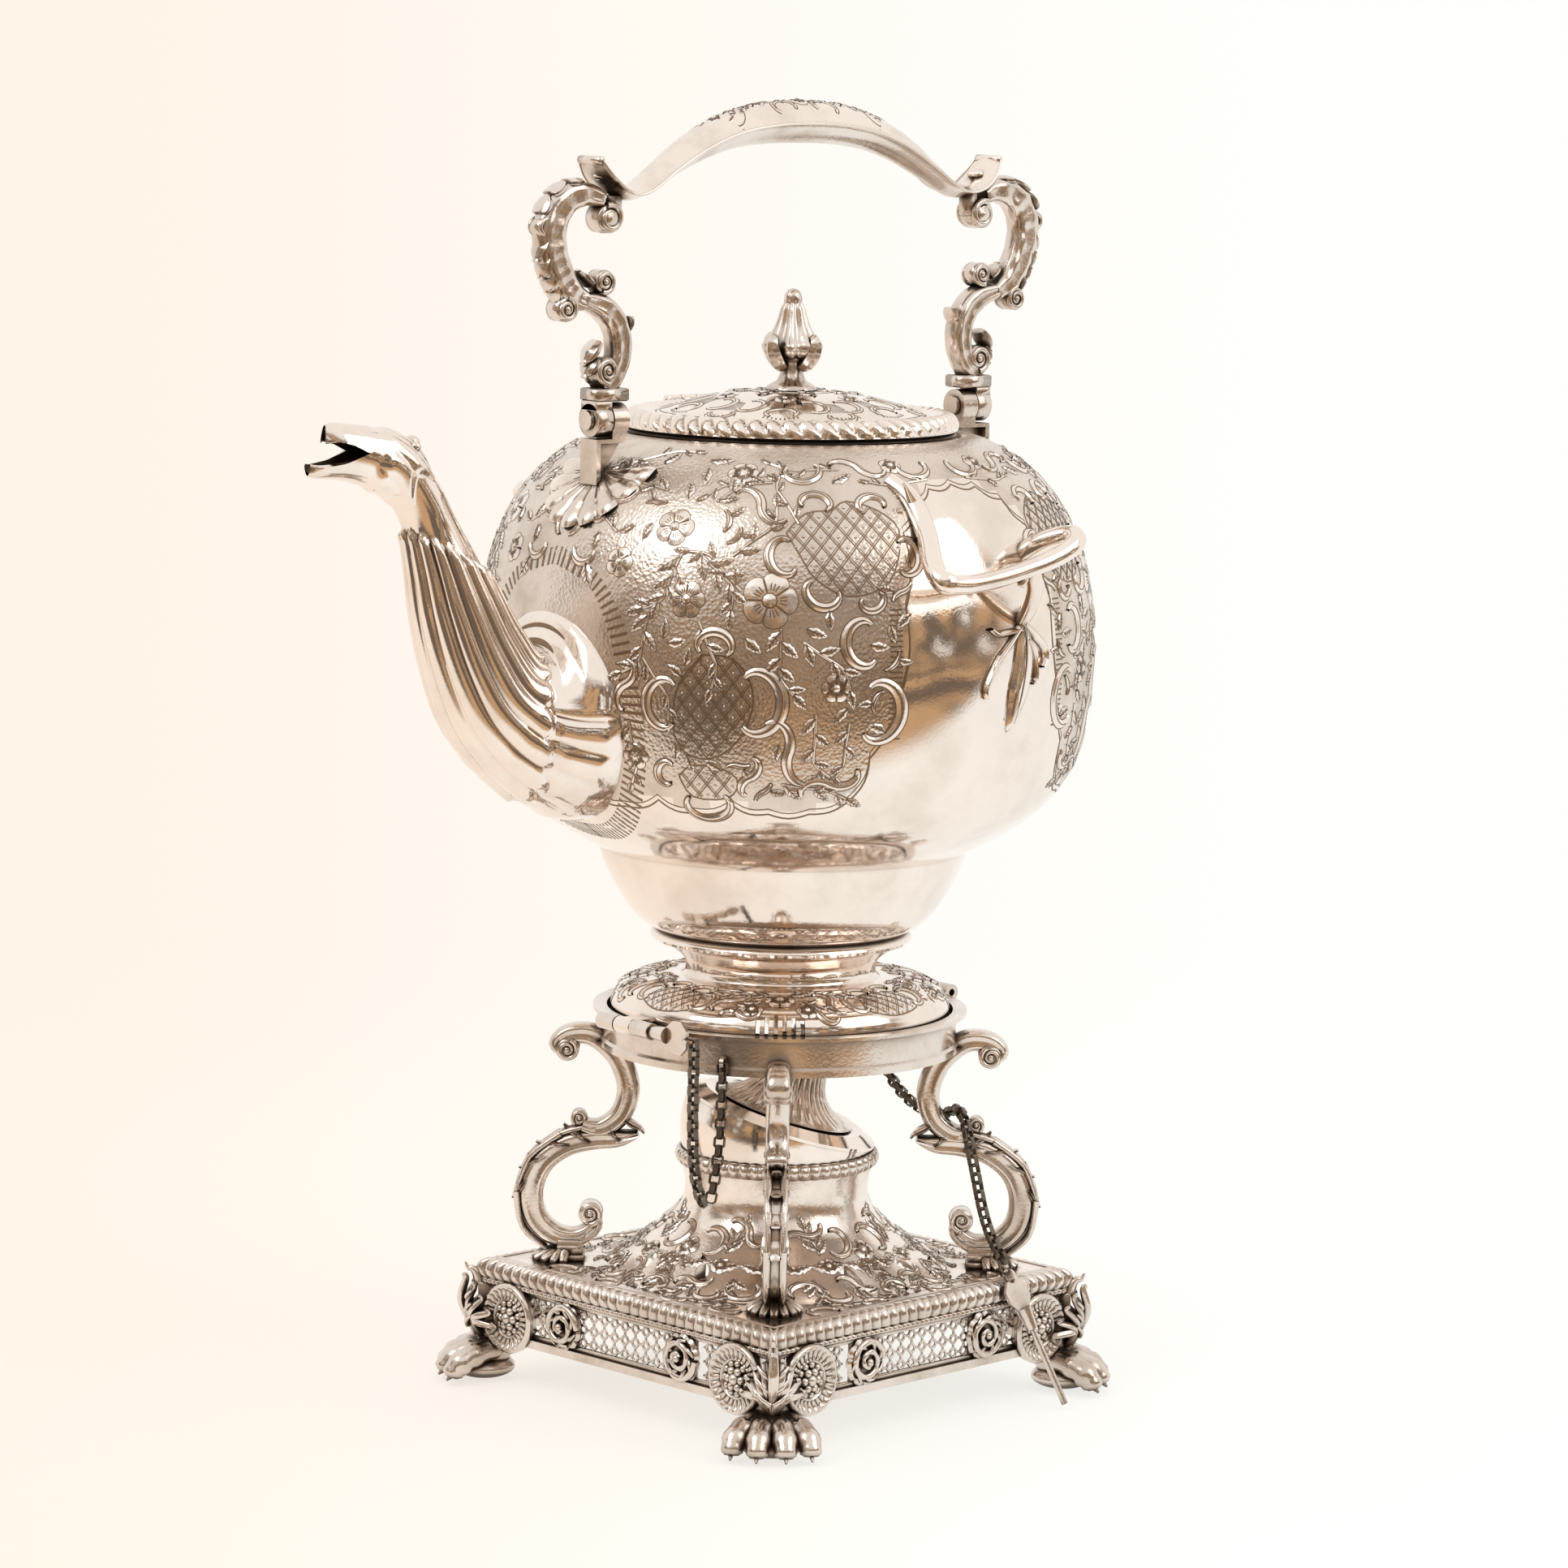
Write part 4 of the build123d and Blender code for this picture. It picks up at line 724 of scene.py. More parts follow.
class Chasing:
    """Chased and engraved work on a surface. Finish 0 is the raised silver, 1 the dark line of patina and painted
    shade beside it.

    The place of a motif is its azimuth and run on the surface, or x and y, and its turn in degrees.
    """

    def __init__(self, surface, copies=(lambda x, y: (x, y),), flipped=None):
        self.surface = surface
        self.form = Form()
        self.copies = list(zip(copies, flipped or [False] * len(copies)))
        self.taken = []

    def make(self, name, body, raised=None):
        """The work as an object of its own."""
        self.form.make(name, body, (raised or chased(), patina_and_shade_line()))

    def walk(self, place, x, y):
        """A motif's point as surface coordinates."""
        return self.surface.flat(place, *turned((x, y), radians(place[2])))

    def strip(self, place, line, heights, bands):
        """A strip along a line; heights lists (share of half width, extra, lift)."""
        for copy, mirrored in self.copies:
            rows = []
            for index, (x, y, width) in enumerate(line):
                left = left_of(line, index)
                row = []
                for share, extra, lift in heights:
                    reach = share * width / 2 + extra
                    spot = self.walk(place, x + left[0] * reach, y + left[1] * reach)
                    row.append(self.surface.at(*copy(*spot), lift))
                rows.append(row)
            self.form.skin(rows, bands=bands, flip=not mirrored)

    def score(self, place, line, lift):
        """A dark line of patina and painted shade on top of something raised."""
        self.strip(place, line, ((-1, 0, lift), (1, 0, lift)), [1])

    def cut(self, place, points, width, steps=1):
        """An engraved line."""
        self.score(place, [(x, y, width) for x, y in smooth(points, steps)], 0.06)

    def rib(self, place, line, height=0.5, edge=0.32):
        """A raised rib with dark lines of patina and painted shade along both sides; each point holds its own width.
        """
        self.taken += [self.walk(place, x, y) for x, y, _ in line]
        self.strip(place, line, (
            (-1, -edge, 0.03), (-1, 0, 0.05), (-0.6, 0, 0.8 * height), (0, 0, height),
            (0.6, 0, 0.8 * height), (1, 0, 0.05), (1, edge, 0.03),
        ), [1, 0, 0, 0, 0, 1])

    def pad(self, place, outline, height=0.5, edge=0.3):
        """A raised pad with a dark outline of patina and painted shade."""
        middle = [sum(column) / len(outline) for column in zip(*outline)]
        reach = max(hypot(x - middle[0], y - middle[1]) for x, y in outline)
        self.taken += [self.walk(place, x, y) for x, y in [middle, *outline[::2]]]
        self.rings(place, outline, middle, (
            (1 + edge / reach, 0.03), (1, 0.05), (0.86, 0.7 * height), (0.45, height), (0.02, 1.05 * height)))

    def rings(self, place, outline, middle, levels):
        """Rings of an outline from (scale, lift) pairs; the outermost band is a dark line of patina and painted
        shade.
        """
        for copy, mirrored in self.copies:
            rows = [[
                self.surface.at(*copy(*self.walk(
                    place, middle[0] + (x - middle[0]) * scale, middle[1] + (y - middle[1]) * scale)), lift)
                for x, y in outline] for scale, lift in levels]
            start = len(self.form.faces)
            self.form.skin(rows, ring=True, flip=mirrored)
            self.form.finishes[start:start + len(outline)] = [1] * len(outline)

    def flower(self, place, radius=5, petals=5):
        """An open flower with a beaded heart."""
        outline = []
        steps = 8 * petals
        for step in range(steps):
            angle = TURN * step / steps
            reach = radius * (0.8 + 0.2 * abs(cos(petals * angle / 2)) ** 0.6)
            outline.append((reach * cos(angle), reach * sin(angle)))
        self.pad(place, outline, 0.55)
        for petal in range(petals):
            edge = TURN * (petal + 0.5) / petals
            self.vein(place, 0.3 * radius, 0.8 * radius, edge, 0.5)
            for fan in (-0.24, 0, 0.24):
                self.vein(place, 0.36 * radius, 0.62 * radius, TURN * petal / petals + fan, 0.28)
        heart = [(0.24 * radius * cos(TURN * k / 10), 0.24 * radius * sin(TURN * k / 10)) for k in range(10)]
        self.rings(place, heart, (0, 0), ((1.25, 0.55), (1, 0.6), (0.7, 0.95), (0.02, 1.05)))

    def vein(self, place, inner, outer, angle, width, lift=0.66):
        line = [(reach * cos(angle), reach * sin(angle), width) for reach in (inner, (inner + outer) / 2, outer)]
        self.score(place, line, lift)

    def leaf(self, place, length=9, width=4, bend=0, teeth=4):
        """A toothed leaf from its stalk at the place, along the place's own x axis."""
        def side(hand):
            points = []
            for step in range(4 * teeth + 1):
                t = step / (4 * teeth)
                half = width / 2 * sin(pi * t ** 0.8) * (1 + 0.16 * (1 - (step % 4) / 2))
                points.append((length * t, hand * half + bend * length * t * t))
            return points
        outline = side(-1) + side(1)[-2:0:-1]
        self.pad(place, outline, 0.5, 0.28)
        spine = [(length * t, bend * length * t * t, 0.4 * (1 - t) + 0.12) for t in (0, 0.3, 0.6, 0.9)]
        self.score(place, spine, 0.62)
        for t in (0.25, 0.45, 0.65):
            for hand in (-1, 1):
                root = (length * t, bend * length * t * t)
                tip = (root[0] + 0.16 * length, root[1] + hand * width * 0.3)
                self.strip(place, [(*root, 0.3), (*tip, 0.16)], ((-1, 0, 0.6), (1, 0, 0.55)), [1])

    def spray(self, place, stem, leaves=6, length=8):
        """A curved stem with leaves on alternate sides."""
        line = smooth(stem, 5)
        self.rib(place, [(x, y, 0.7) for x, y in line], 0.35, 0.22)
        for leaf in range(leaves):
            index = int((leaf + 0.6) / leaves * (len(line) - 2))
            a, b = line[index], line[index + 1]
            heading = degrees(atan2(b[1] - a[1], b[0] - a[0]))
            turn = 42 if leaf % 2 else -42
            size = 1.0 - 0.35 * leaf / leaves
            self.leaf(self.offset(place, a, heading + turn), length * size, 0.42 * length * size, 0.1)
        a, b = line[-2], line[-1]
        heading = degrees(atan2(b[1] - a[1], b[0] - a[0]))
        self.leaf(self.offset(place, b, heading), 0.8 * length, 0.36 * length)

    def offset(self, place, point, turn):
        """A place at a point of another place's motif."""
        return (*self.walk(place, *point[:2]), place[2] + turn)

    def scroll(self, place, length, bend=3.4, curl=2.2, width=2.4, height=0.8, opposed=False):
        """A raised scroll with a cut line along its back."""
        line = scroll_line(length, bend, curl, opposed, width=width)
        self.rib(place, line, height, 0.4)
        self.score(place, [(x, y, 0.34) for x, y, _ in line[3:-3]], height + 0.03)

    def lattice(self, place, outline, pitch, lean=52):
        """Crossed lines with a bead in each mesh, inside a closed outline that is cut too."""
        reach = max(hypot(x, y) for x, y in outline)
        rows = int(reach / pitch) + 1
        for hand in (-1, 1):
            along = (cos(radians(hand * lean)), sin(radians(hand * lean)))
            for row in range(-rows, rows + 1):
                base = (-along[1] * row * pitch, along[0] * row * pitch)
                hits = sorted(crossings(outline, base, along))
                for first, last in zip(hits[::2], hits[1::2]):
                    count = int((last - first) / 2.5) + 1
                    ends = [(base[0] + along[0] * t, base[1] + along[1] * t)
                            for t in (first + (last - first) * k / count for k in range(count + 1))]
                    self.cut(place, ends, 0.36)
                    self.cut(place, [(x - along[1] * 0.62, y + along[0] * 0.62) for x, y in ends], 0.2)
        step_x, step_y = pitch / sin(radians(lean)) / 2, pitch / cos(radians(lean)) / 2
        span = int(reach / min(step_x, step_y)) + 1
        for i in range(-span, span + 1):
            for j in range(-span, span + 1):
                if (i + j) % 2 == 0:
                    continue
                x, y = i * step_x, j * step_y
                if inside(outline, x, y):
                    self.pad(place, [(x + 0.42 * cos(k * pi / 2), y + 0.42 * sin(k * pi / 2)) for k in range(4)],
                             0.3, 0.14)
        self.cut(place, outline + outline[:1], 0.5, 3)

    def fill(self, spots, least=3.4, most=9):
        """Leaves, scrolls and small flowers in the room that the placed motifs leave."""
        for count, (angle, run) in enumerate(spots):
            radius = self.surface.spot(run)[0]
            free = min(hypot(radians(angle - a) * radius, run - s) for a, s in self.taken)
            if free < least:
                continue
            size = min(free, most)
            place = (angle, run, (GOLDEN_ANGLE * count) % 360)
            if size > 6.6 and count % 2:
                self.flower(place, 0.62 * size, 5 + count % 2)
            elif size > 4.6:
                self.scroll(place, 1.5 * size, bend=0.3 * size, curl=0.16 * size, width=0.24 * size, height=0.6,
                            opposed=bool(count % 2))
                self.leaf(self.offset(place, (0.3 * size, -0.3 * size), -70), 0.9 * size, 0.42 * size, 0.2, 3)
            else:
                self.leaf(self.offset(place, (-0.75 * size, 0), 0), 1.6 * size, 0.7 * size, 0.12, 3)

    def rays(self, inner, outer, count):
        """Cut rays from one line of (azimuth, distance) points to another."""
        for copy, mirrored in self.copies:
            for ray in range(count):
                share = (ray + 0.5) / count
                a, b = along_line(inner, share), along_line(outer, share)
                c = along_line(inner, share + 0.34 / count)
                d = along_line(outer, share + 0.34 / count)
                middle = [tuple((p + q) / 2 for p, q in zip(a, b)), tuple((p + q) / 2 for p, q in zip(c, d))]
                rows = [[self.surface.at(*copy(*point), 0.06) for point in pair]
                        for pair in ((a, c), middle, (b, d))]
                self.form.skin(rows, 1, flip=mirrored)


def along_line(line, share):
    """The point at a share of a line's points."""
    spot = min(max(share, 0), 1) * (len(line) - 1)
    index = min(int(spot), len(line) - 2)
    rest = spot - index
    return tuple(a + (b - a) * rest for a, b in zip(line[index], line[index + 1]))


def crossings(outline, base, along):
    """How far along a line it meets each side of an outline."""
    hits = []
    for (ax, ay), (bx, by) in zip(outline, outline[1:] + outline[:1]):
        side_a = (ax - base[0]) * along[1] - (ay - base[1]) * along[0]
        side_b = (bx - base[0]) * along[1] - (by - base[1]) * along[0]
        if side_a * side_b < 0:
            share = side_a / (side_a - side_b)
            x, y = ax + (bx - ax) * share, ay + (by - ay) * share
            hits.append((x - base[0]) * along[0] + (y - base[1]) * along[1])
    return hits


def inside(outline, x, y):
    """Whether a flat point lies inside an outline."""
    return len([t for t in crossings(outline, (x, y), (1, 0.0003)) if t > 0]) % 2 == 1


# ---- kettle body

BOWL = [(58, 173), (54.6, 164), (48.6, 154), (34, 145.4)]
LOWER = [(95.8, 236), (91.5, 205), (76.5, 184), (58, 173)]
UPPER = [(95.8, 236), (92.3, 264), (63.8, 300), (51.6, 302.8)]
SHEET = 1.2
MOUTH = 46.0
# where the chased field ends above the plain silver: (degrees from a side handle, height)
FIELD_EDGE = [
    (0, 292), (7, 291), (13, 287), (16.7, 279), (18, 257), (19, 232), (24.3, 212.6), (27.4, 199.5), (35, 195.1),
    (43, 194.9), (50, 197.4), (58, 194.2), (65, 197.7), (73, 194.5), (81, 197.5), (90, 194.5),
]

# the body's radius along that edge
EDGE_RADIUS = 94
# (azimuth and height of the middle, then those of the corners)
BODY_LATTICES = (
    (
        -118.5, 272, (-130, 279), (-126, 284.5), (-121, 285.6), (-117.8, 288), (-112, 285.5), (-108, 280),
        (-109, 270), (-112, 263.5), (-119, 261), (-125, 266), (-127.5, 272),
    ),
    (
        -142.5, 228, (-145, 243), (-139.5, 242), (-136, 234), (-136.4, 224), (-140, 215), (-145, 211.5),
        (-149.5, 215), (-150.5, 225), (-149, 235),
    ),
    (-144.6, 203.5, (-150, 206), (-147, 209.5), (-141, 208.5), (-138.5, 204.5), (-141, 199.6), (-147.5, 199.6)),
)
# (azimuth, height, turn, length, width, 1 for an S-scroll)
BODY_SCROLLS = [
    (-131, 272, -78, 22, 2.6, 0), (-124.5, 287.5, 168, 17, 2.2, 0), (-112.5, 287, 196, 16, 2.2, 0),
    (-106.6, 272.5, 88, 21, 2.6, 0), (-123.6, 261.5, -24, 20, 2.5, 0), (-114.2, 259.5, 22, 14, 2, 0),
    (-116.4, 247, -84, 26, 3.2, 0), (-112.6, 227, 84, 34, 3.6, 0), (-134.6, 229.5, 88, 36, 3.6, 0),
    (-143, 246.2, 176, 20, 2.6, 0), (-152.6, 227.5, -92, 28, 3, 0), (-129.2, 214, -52, 30, 2.8, 1),
    (-144.5, 196.9, 4, 26, 2.4, 0), (-152.6, 206.5, -98, 14, 2.2, 0), (-136.4, 206.5, 80, 16, 2.4, 1),
    (-121.5, 205, 28, 24, 2.8, 1), (-136, 286.5, 150, 24, 2.4, 1), (-126.8, 295.6, 10, 20, 2.2, 0),
    (-113, 297, 172, 22, 2.2, 1), (-98, 296.6, 4, 20, 2.2, 0), (-160, 232.5, -96, 20, 2.4, 1),
    (-170, 286, 40, 20, 2.2, 1),
]
# (azimuth, height, radius, petals)
BODY_FLOWERS = [
    (-133.2, 259.5, 8.4, 5), (-148.6, 259, 5.6, 6), (-153.2, 279.5, 6, 5), (-141, 295, 4.8, 6), (-121, 234, 4.4, 6),
    (-163.6, 268.5, 4.6, 5), (-104, 297.4, 3.4, 5), (-158.5, 211, 4.2, 6),
]
# (azimuth, height, turn, bend, leaves, length of a leaf)
BODY_SPRAYS = [
    (-150.6, 272, 232, 5, 7, 8.4), (-147, 272.5, -62, 5, 7, 7.8), (-131, 251.5, -74, -4, 6, 7.6),
    (-127, 247.5, -50, 4, 5, 7.2), (-138.5, 262, 150, -4, 4, 6.6), (-155.8, 254.5, 240, 5, 5, 7.6),
    (-146, 252.6, -82, 4, 4, 6.2), (-124.6, 226, -70, -5, 5, 6.6), (-118.5, 223.5, -112, 4, 4, 5.6),
    (-145.6, 287, 30, 4, 5, 6), (-157.5, 289.5, 150, 4, 5, 6.2), (-134, 292.8, 200, -3, 4, 5.4),
    (-166, 277, 130, 4, 4, 6), (-140.5, 272, 62, -5, 4, 6.4), (-118, 296.6, 170, 3, 3, 4.6),
    (-130.5, 204.5, -16, 2, 5, 6.8), (-156.5, 241, -70, 4, 4, 5.6), (-96, 293.6, 180, 2, 3, 4.2),
    (-128, 281.5, 100, 4, 4, 5), (-159.5, 222, -96, 3, 4, 5.4), (-173, 296, 20, 3, 3, 4.6),
]
# the two edges of the rays round the spout's root, as (azimuth, height)
RAYS_IN = [
    (-180, 266), (-170, 261), (-164.6, 250), (-161.4, 234), (-160.4, 219), (-161.8, 205), (-166, 193), (-173, 187),
    (-180, 186),
]
RAYS_OUT = [
    (-180, 271.5), (-168.5, 265), (-161.2, 252), (-157.6, 235), (-156.4, 218), (-157.4, 202), (-162.4, 188.5),
    (-171.5, 182), (-180, 181),
]


def vessel_line():
    """The kettle body's outline from its bottom to its mouth, as (radius, height)."""
    bowl = arcs(BOWL, (-0.25, -0.97))
    lower = arcs(LOWER, (0, -1))
    return bowl[::-1] + lower[::-1][1:] + arcs(UPPER, (0, 1))[1:]


def from_handle(angle):
    """Degrees round the body from the nearer side handle."""
    return abs(abs((angle + 180) % 360 - 180) - 90)


def field_edge(angle):
    """The height of the chased field's lower edge there."""
    away = from_handle(angle)
    for (a, low), (b, high) in zip(FIELD_EDGE, FIELD_EDGE[1:]):
        if a <= away <= b:
            return low + (high - low) * (away - a) / (b - a)
    return FIELD_EDGE[-1][1]


QUARTERS = (lambda a, s: (a, s), lambda a, s: (-180 - a, s), lambda a, s: (-a, s), lambda a, s: (180 + a, s))
QUARTER_FLIPS = (False, True, True, False)


def scallops(points, bulge, steps=6):
    """A line of little arcs from point to point, each bulging to its right."""
    line = []
    for (x, y), (next_x, next_y) in zip(points, points[1:]):
        for step in range(steps):
            t = step / steps
            swell = bulge * sin(pi * t)
            length = hypot(next_x - x, next_y - y)
            line.append((x + (next_x - x) * t + swell * (next_y - y) / length,
                         y + (next_y - y) * t - swell * (next_x - x) / length))
    return line + [points[-1]]


class KETTLE_OT_body(bpy.types.Operator):
    """Makes the raised body with its chased field"""

    bl_idname = "kettle.body"
    bl_label = "Kettle body"

    def execute(self, context):
        line = vessel_line()
        inner = shifted(line, -SHEET)[::-1]
        rim = [(51, 303.2), (MOUTH + 0.4, 303.2), (MOUTH, 302.8)]
        outline = [(0.05, 145.4), *line, *rim, *inner[1:], (0.05, 145.4 + SHEET)]
        body = Form()
        body.lathe(outline, 192, choose=lambda angle, spot: 1 if self.in_field(angle, spot) else 0)
        body.make("kettle_body_shell", "kettle", (polished(), matted()), ("kettle_body",), sharp=30)
        self.knuckles()
        self.chasing(Turned(line))
        return {"FINISHED"}

    def in_field(self, angle, spot):
        radius, height = spot
        return height > field_edge(angle) and radius > MOUTH + 1 and height < 302.5

    def knuckles(self):
        """The two outer knuckles of the lid's hinge, each on a tab."""
        hinge = Form()
        for side in (-1, 1):
            low, high = sorted((side * 3.3, side * 8.3))
            hinge.block((low, 50.9, 302.4), (high, 52.9, 308.4))
            hinge.rod((low, *LID_HINGE), (high, *LID_HINGE), 2, edge=0.2)
        hinge.make("lid_hinge_knuckles", "kettle", (polished(),), sharp=40)

    def chasing(self, surface):
        def spot(angle, height, turn=0):
            return angle, surface.run_at(height), turn

        def local(place, points):
            radius = surface.spot(place[1])[0]
            return [(radians(angle - place[0]) * radius, surface.run_at(height) - place[1])
                    for angle, height in points]

        work = Chasing(surface, QUARTERS, QUARTER_FLIPS)
        # lattices in their frames of scrolls
        for angle, height, *outline in BODY_LATTICES:
            place = spot(angle, height)
            work.lattice(place, local(place, outline), 4.1)
        for angle, height, turn, length, width, opposed in BODY_SCROLLS:
            work.scroll(spot(angle, height, turn), length, width=width, opposed=opposed)
        for angle, height, radius, petals in BODY_FLOWERS:
            work.flower(spot(angle, height), radius, petals)
        for angle, height, turn, bend, leaves, length in BODY_SPRAYS:
            stem = [(0, 0), (7, bend * 0.5), (14, bend), (20, bend * 0.4)]
            work.spray(spot(angle, height, turn), stem, leaves, length)
        work.fill([(angle, surface.run_at(height)) for course, height in enumerate(range(194, 300, 4))
                   for angle in [-92.5 - 4.6 * step - 2.3 * (course % 2) for step in range(19)]
                   if height > field_edge(angle) + 4 and not (angle < -155 and height < 268)
                   and not (-106 < angle and 262 < height < 290)])
        # the scalloped edge of the field, with its fringe of short cuts
        edge = [(radians(-90 - away) * EDGE_RADIUS, surface.run_at(low)) for away, low in FIELD_EDGE]
        for rise, width in ((0, 0.55), (2, 0.3)):
            course = [(x, run + rise) for x, run in scallops(edge, -1.7)]
            for copy, mirrored in work.copies:
                rows = []
                for index, (x, run) in enumerate(course):
                    left = left_of(course, index)
                    sides = [(degrees((x + left[0] * reach) / EDGE_RADIUS), run + left[1] * reach)
                             for reach in (-width / 2, width / 2)]
                    rows.append([surface.at(*copy(*side), 0.07) for side in sides])
                work.form.skin(rows, 1, flip=mirrored)
        runs = [surface.run_at(258 - 8 * k) for k in range(6)]
        work.rays([(-111.2 - 0.02 * k, run) for k, run in enumerate(runs)], [(-108.8, run) for run in runs], 26)
        # rays round the root of the spout, and their match at the back
        work.rays(*(smooth([(a, surface.run_at(z)) for a, z in edge], 4) for edge in (RAYS_IN, RAYS_OUT)), 52)
        work.make("kettle_body_chasing", "kettle")
        self.back_panel(surface, spot, local)

    def back_panel(self, surface, spot, local):
        """The middle of the body opposite the spout: a lattice in scrolls under a flower."""
        work = Chasing(surface, (lambda a, s: (a, s), lambda a, s: (-a, s)), (False, True))
        place = spot(0, 226)
        outline = [(-8, 240), (0, 244), (8, 240), (9.5, 226), (6, 212), (0, 208), (-6, 212), (-9.5, 226)]
        single = Chasing(surface)
        single.lattice(place, local(place, outline), 4.1)
        single.flower(spot(0, 256), 7.5, 6)
        for *place, length in ((11.6, 226, 88, 30), (6.6, 245.5, 150, 16), (5.4, 204.5, 30, 16)):
            work.scroll(spot(*place), length, width=3)
        single.form.add(work.form)
        single.make("kettle_back_chasing", "kettle")


# ---- kettle foot

FLARE = [(40.5, 143.4), (31.8, 138.6), (30, 133.8), (31.2, 131.9)]
DOME = [(31.2, 131.9), (42, 131), (49.8, 128.2), (53.5, 121)]
FOOT_BOTTOM = 112.2
VENTS = (-7.5, -4.5, -1.5, 1.5, 4.5, 7.5)


class KETTLE_OT_foot(bpy.types.Operator):
    """Makes the spreading foot, its chased dome and its fans of vents"""

    bl_idname = "kettle.foot"
    bl_label = "Kettle foot"

    def execute(self, context):
        flare = arcs(FLARE, (-0.95, -0.3))
        dome = arcs(DOME, (1, 0))
        moulding = [(37.6, 147.2), (39.4, 146.6), (40.9, 145.4), (41.2, 144.4)]
        outer = moulding + flare + dome[1:] + [(53.5, 117), (53.5, FOOT_BOTTOM)]
        inner = [(52.3, FOOT_BOTTOM), (52.3, 121)] + shifted(dome, SHEET)[::-1] + [
            (28.4, 131), (28.4, 145.4), (34, 145.6),
        ]
        foot = Form().lathe(outer + inner, 240, closed=True, skip=self.in_vent)
        for side in (-1, 1):
            low, high = sorted((side * 52.6, side * 61.4))
            foot.block((low, -3.9, 122.3), (high, 3.9, 123.5))
            foot.rod((side * 61.4, -3.9, 121.4), (side * 61.4, 3.9, 121.4), 2.6, edge=0.25)
        foot.make("kettle_foot_shell", "kettle", (polished(),), ("kettle_foot",), sharp=35)
        self.chasing(Turned(shifted(dome[::-1], 0)))
        return {"FINISHED"}

    def in_vent(self, angle, spot):
        """A slit of each fan is one segment wide; the middle slits are the tallest."""
        radius, height = spot
        for corner in CORNER_ANGLES:
            away = (angle - corner + 180) % 360 - 180
            for vent in VENTS:
                if abs(away - vent) < 0.76 and 121.5 < height < 128.4 - 0.22 * abs(vent) and radius > 46:
                    return True
        return False

    def chasing(self, surface):
        work = Chasing(surface, round_copies(4))
        outline = [(-11, -3.5), (-8, 4.5), (-2.5, 7), (0, 6), (2.5, 7), (8, 4.5), (11, -3.5), (4, -6), (-4, -6)]
        work.lattice((5, 11.5, 0), outline, 3.4)
        for *place, length, opposed in (
            (-9.5, 12.5, -80, 18, 0), (19.5, 12.5, 80, 18, 0), (-2, 20.5, 168, 14, 0), (12, 20.5, 192, 14, 0),
            (30, 14, 60, 18, 1), (-20, 14, 120, 18, 1), (36, 7.5, 12, 16, 1), (-26, 7.5, 168, 16, 1),
        ):
            work.scroll(place, length, width=2, height=0.6, opposed=opposed)
        for angle, run, radius in ((50, 15.5, 4.6), (40, 9.5, 3.4), (60, 9.5, 3.4)):
            work.flower((angle, run, 0), radius, 6)
        for *place, leaves in (
            (46, 19.5, 160, 4), (54, 19.5, 20, 4), (42, 14, 210, 4), (58, 14, -30, 4), (33, 20.5, 200, 3),
            (67, 20.5, -20, 3),
        ):
            work.spray(place, [(0, 0), (4, 1), (9, 0.5)], leaves, 4.6)
        work.make("kettle_foot_chasing", "kettle")


# ---- lid and finial


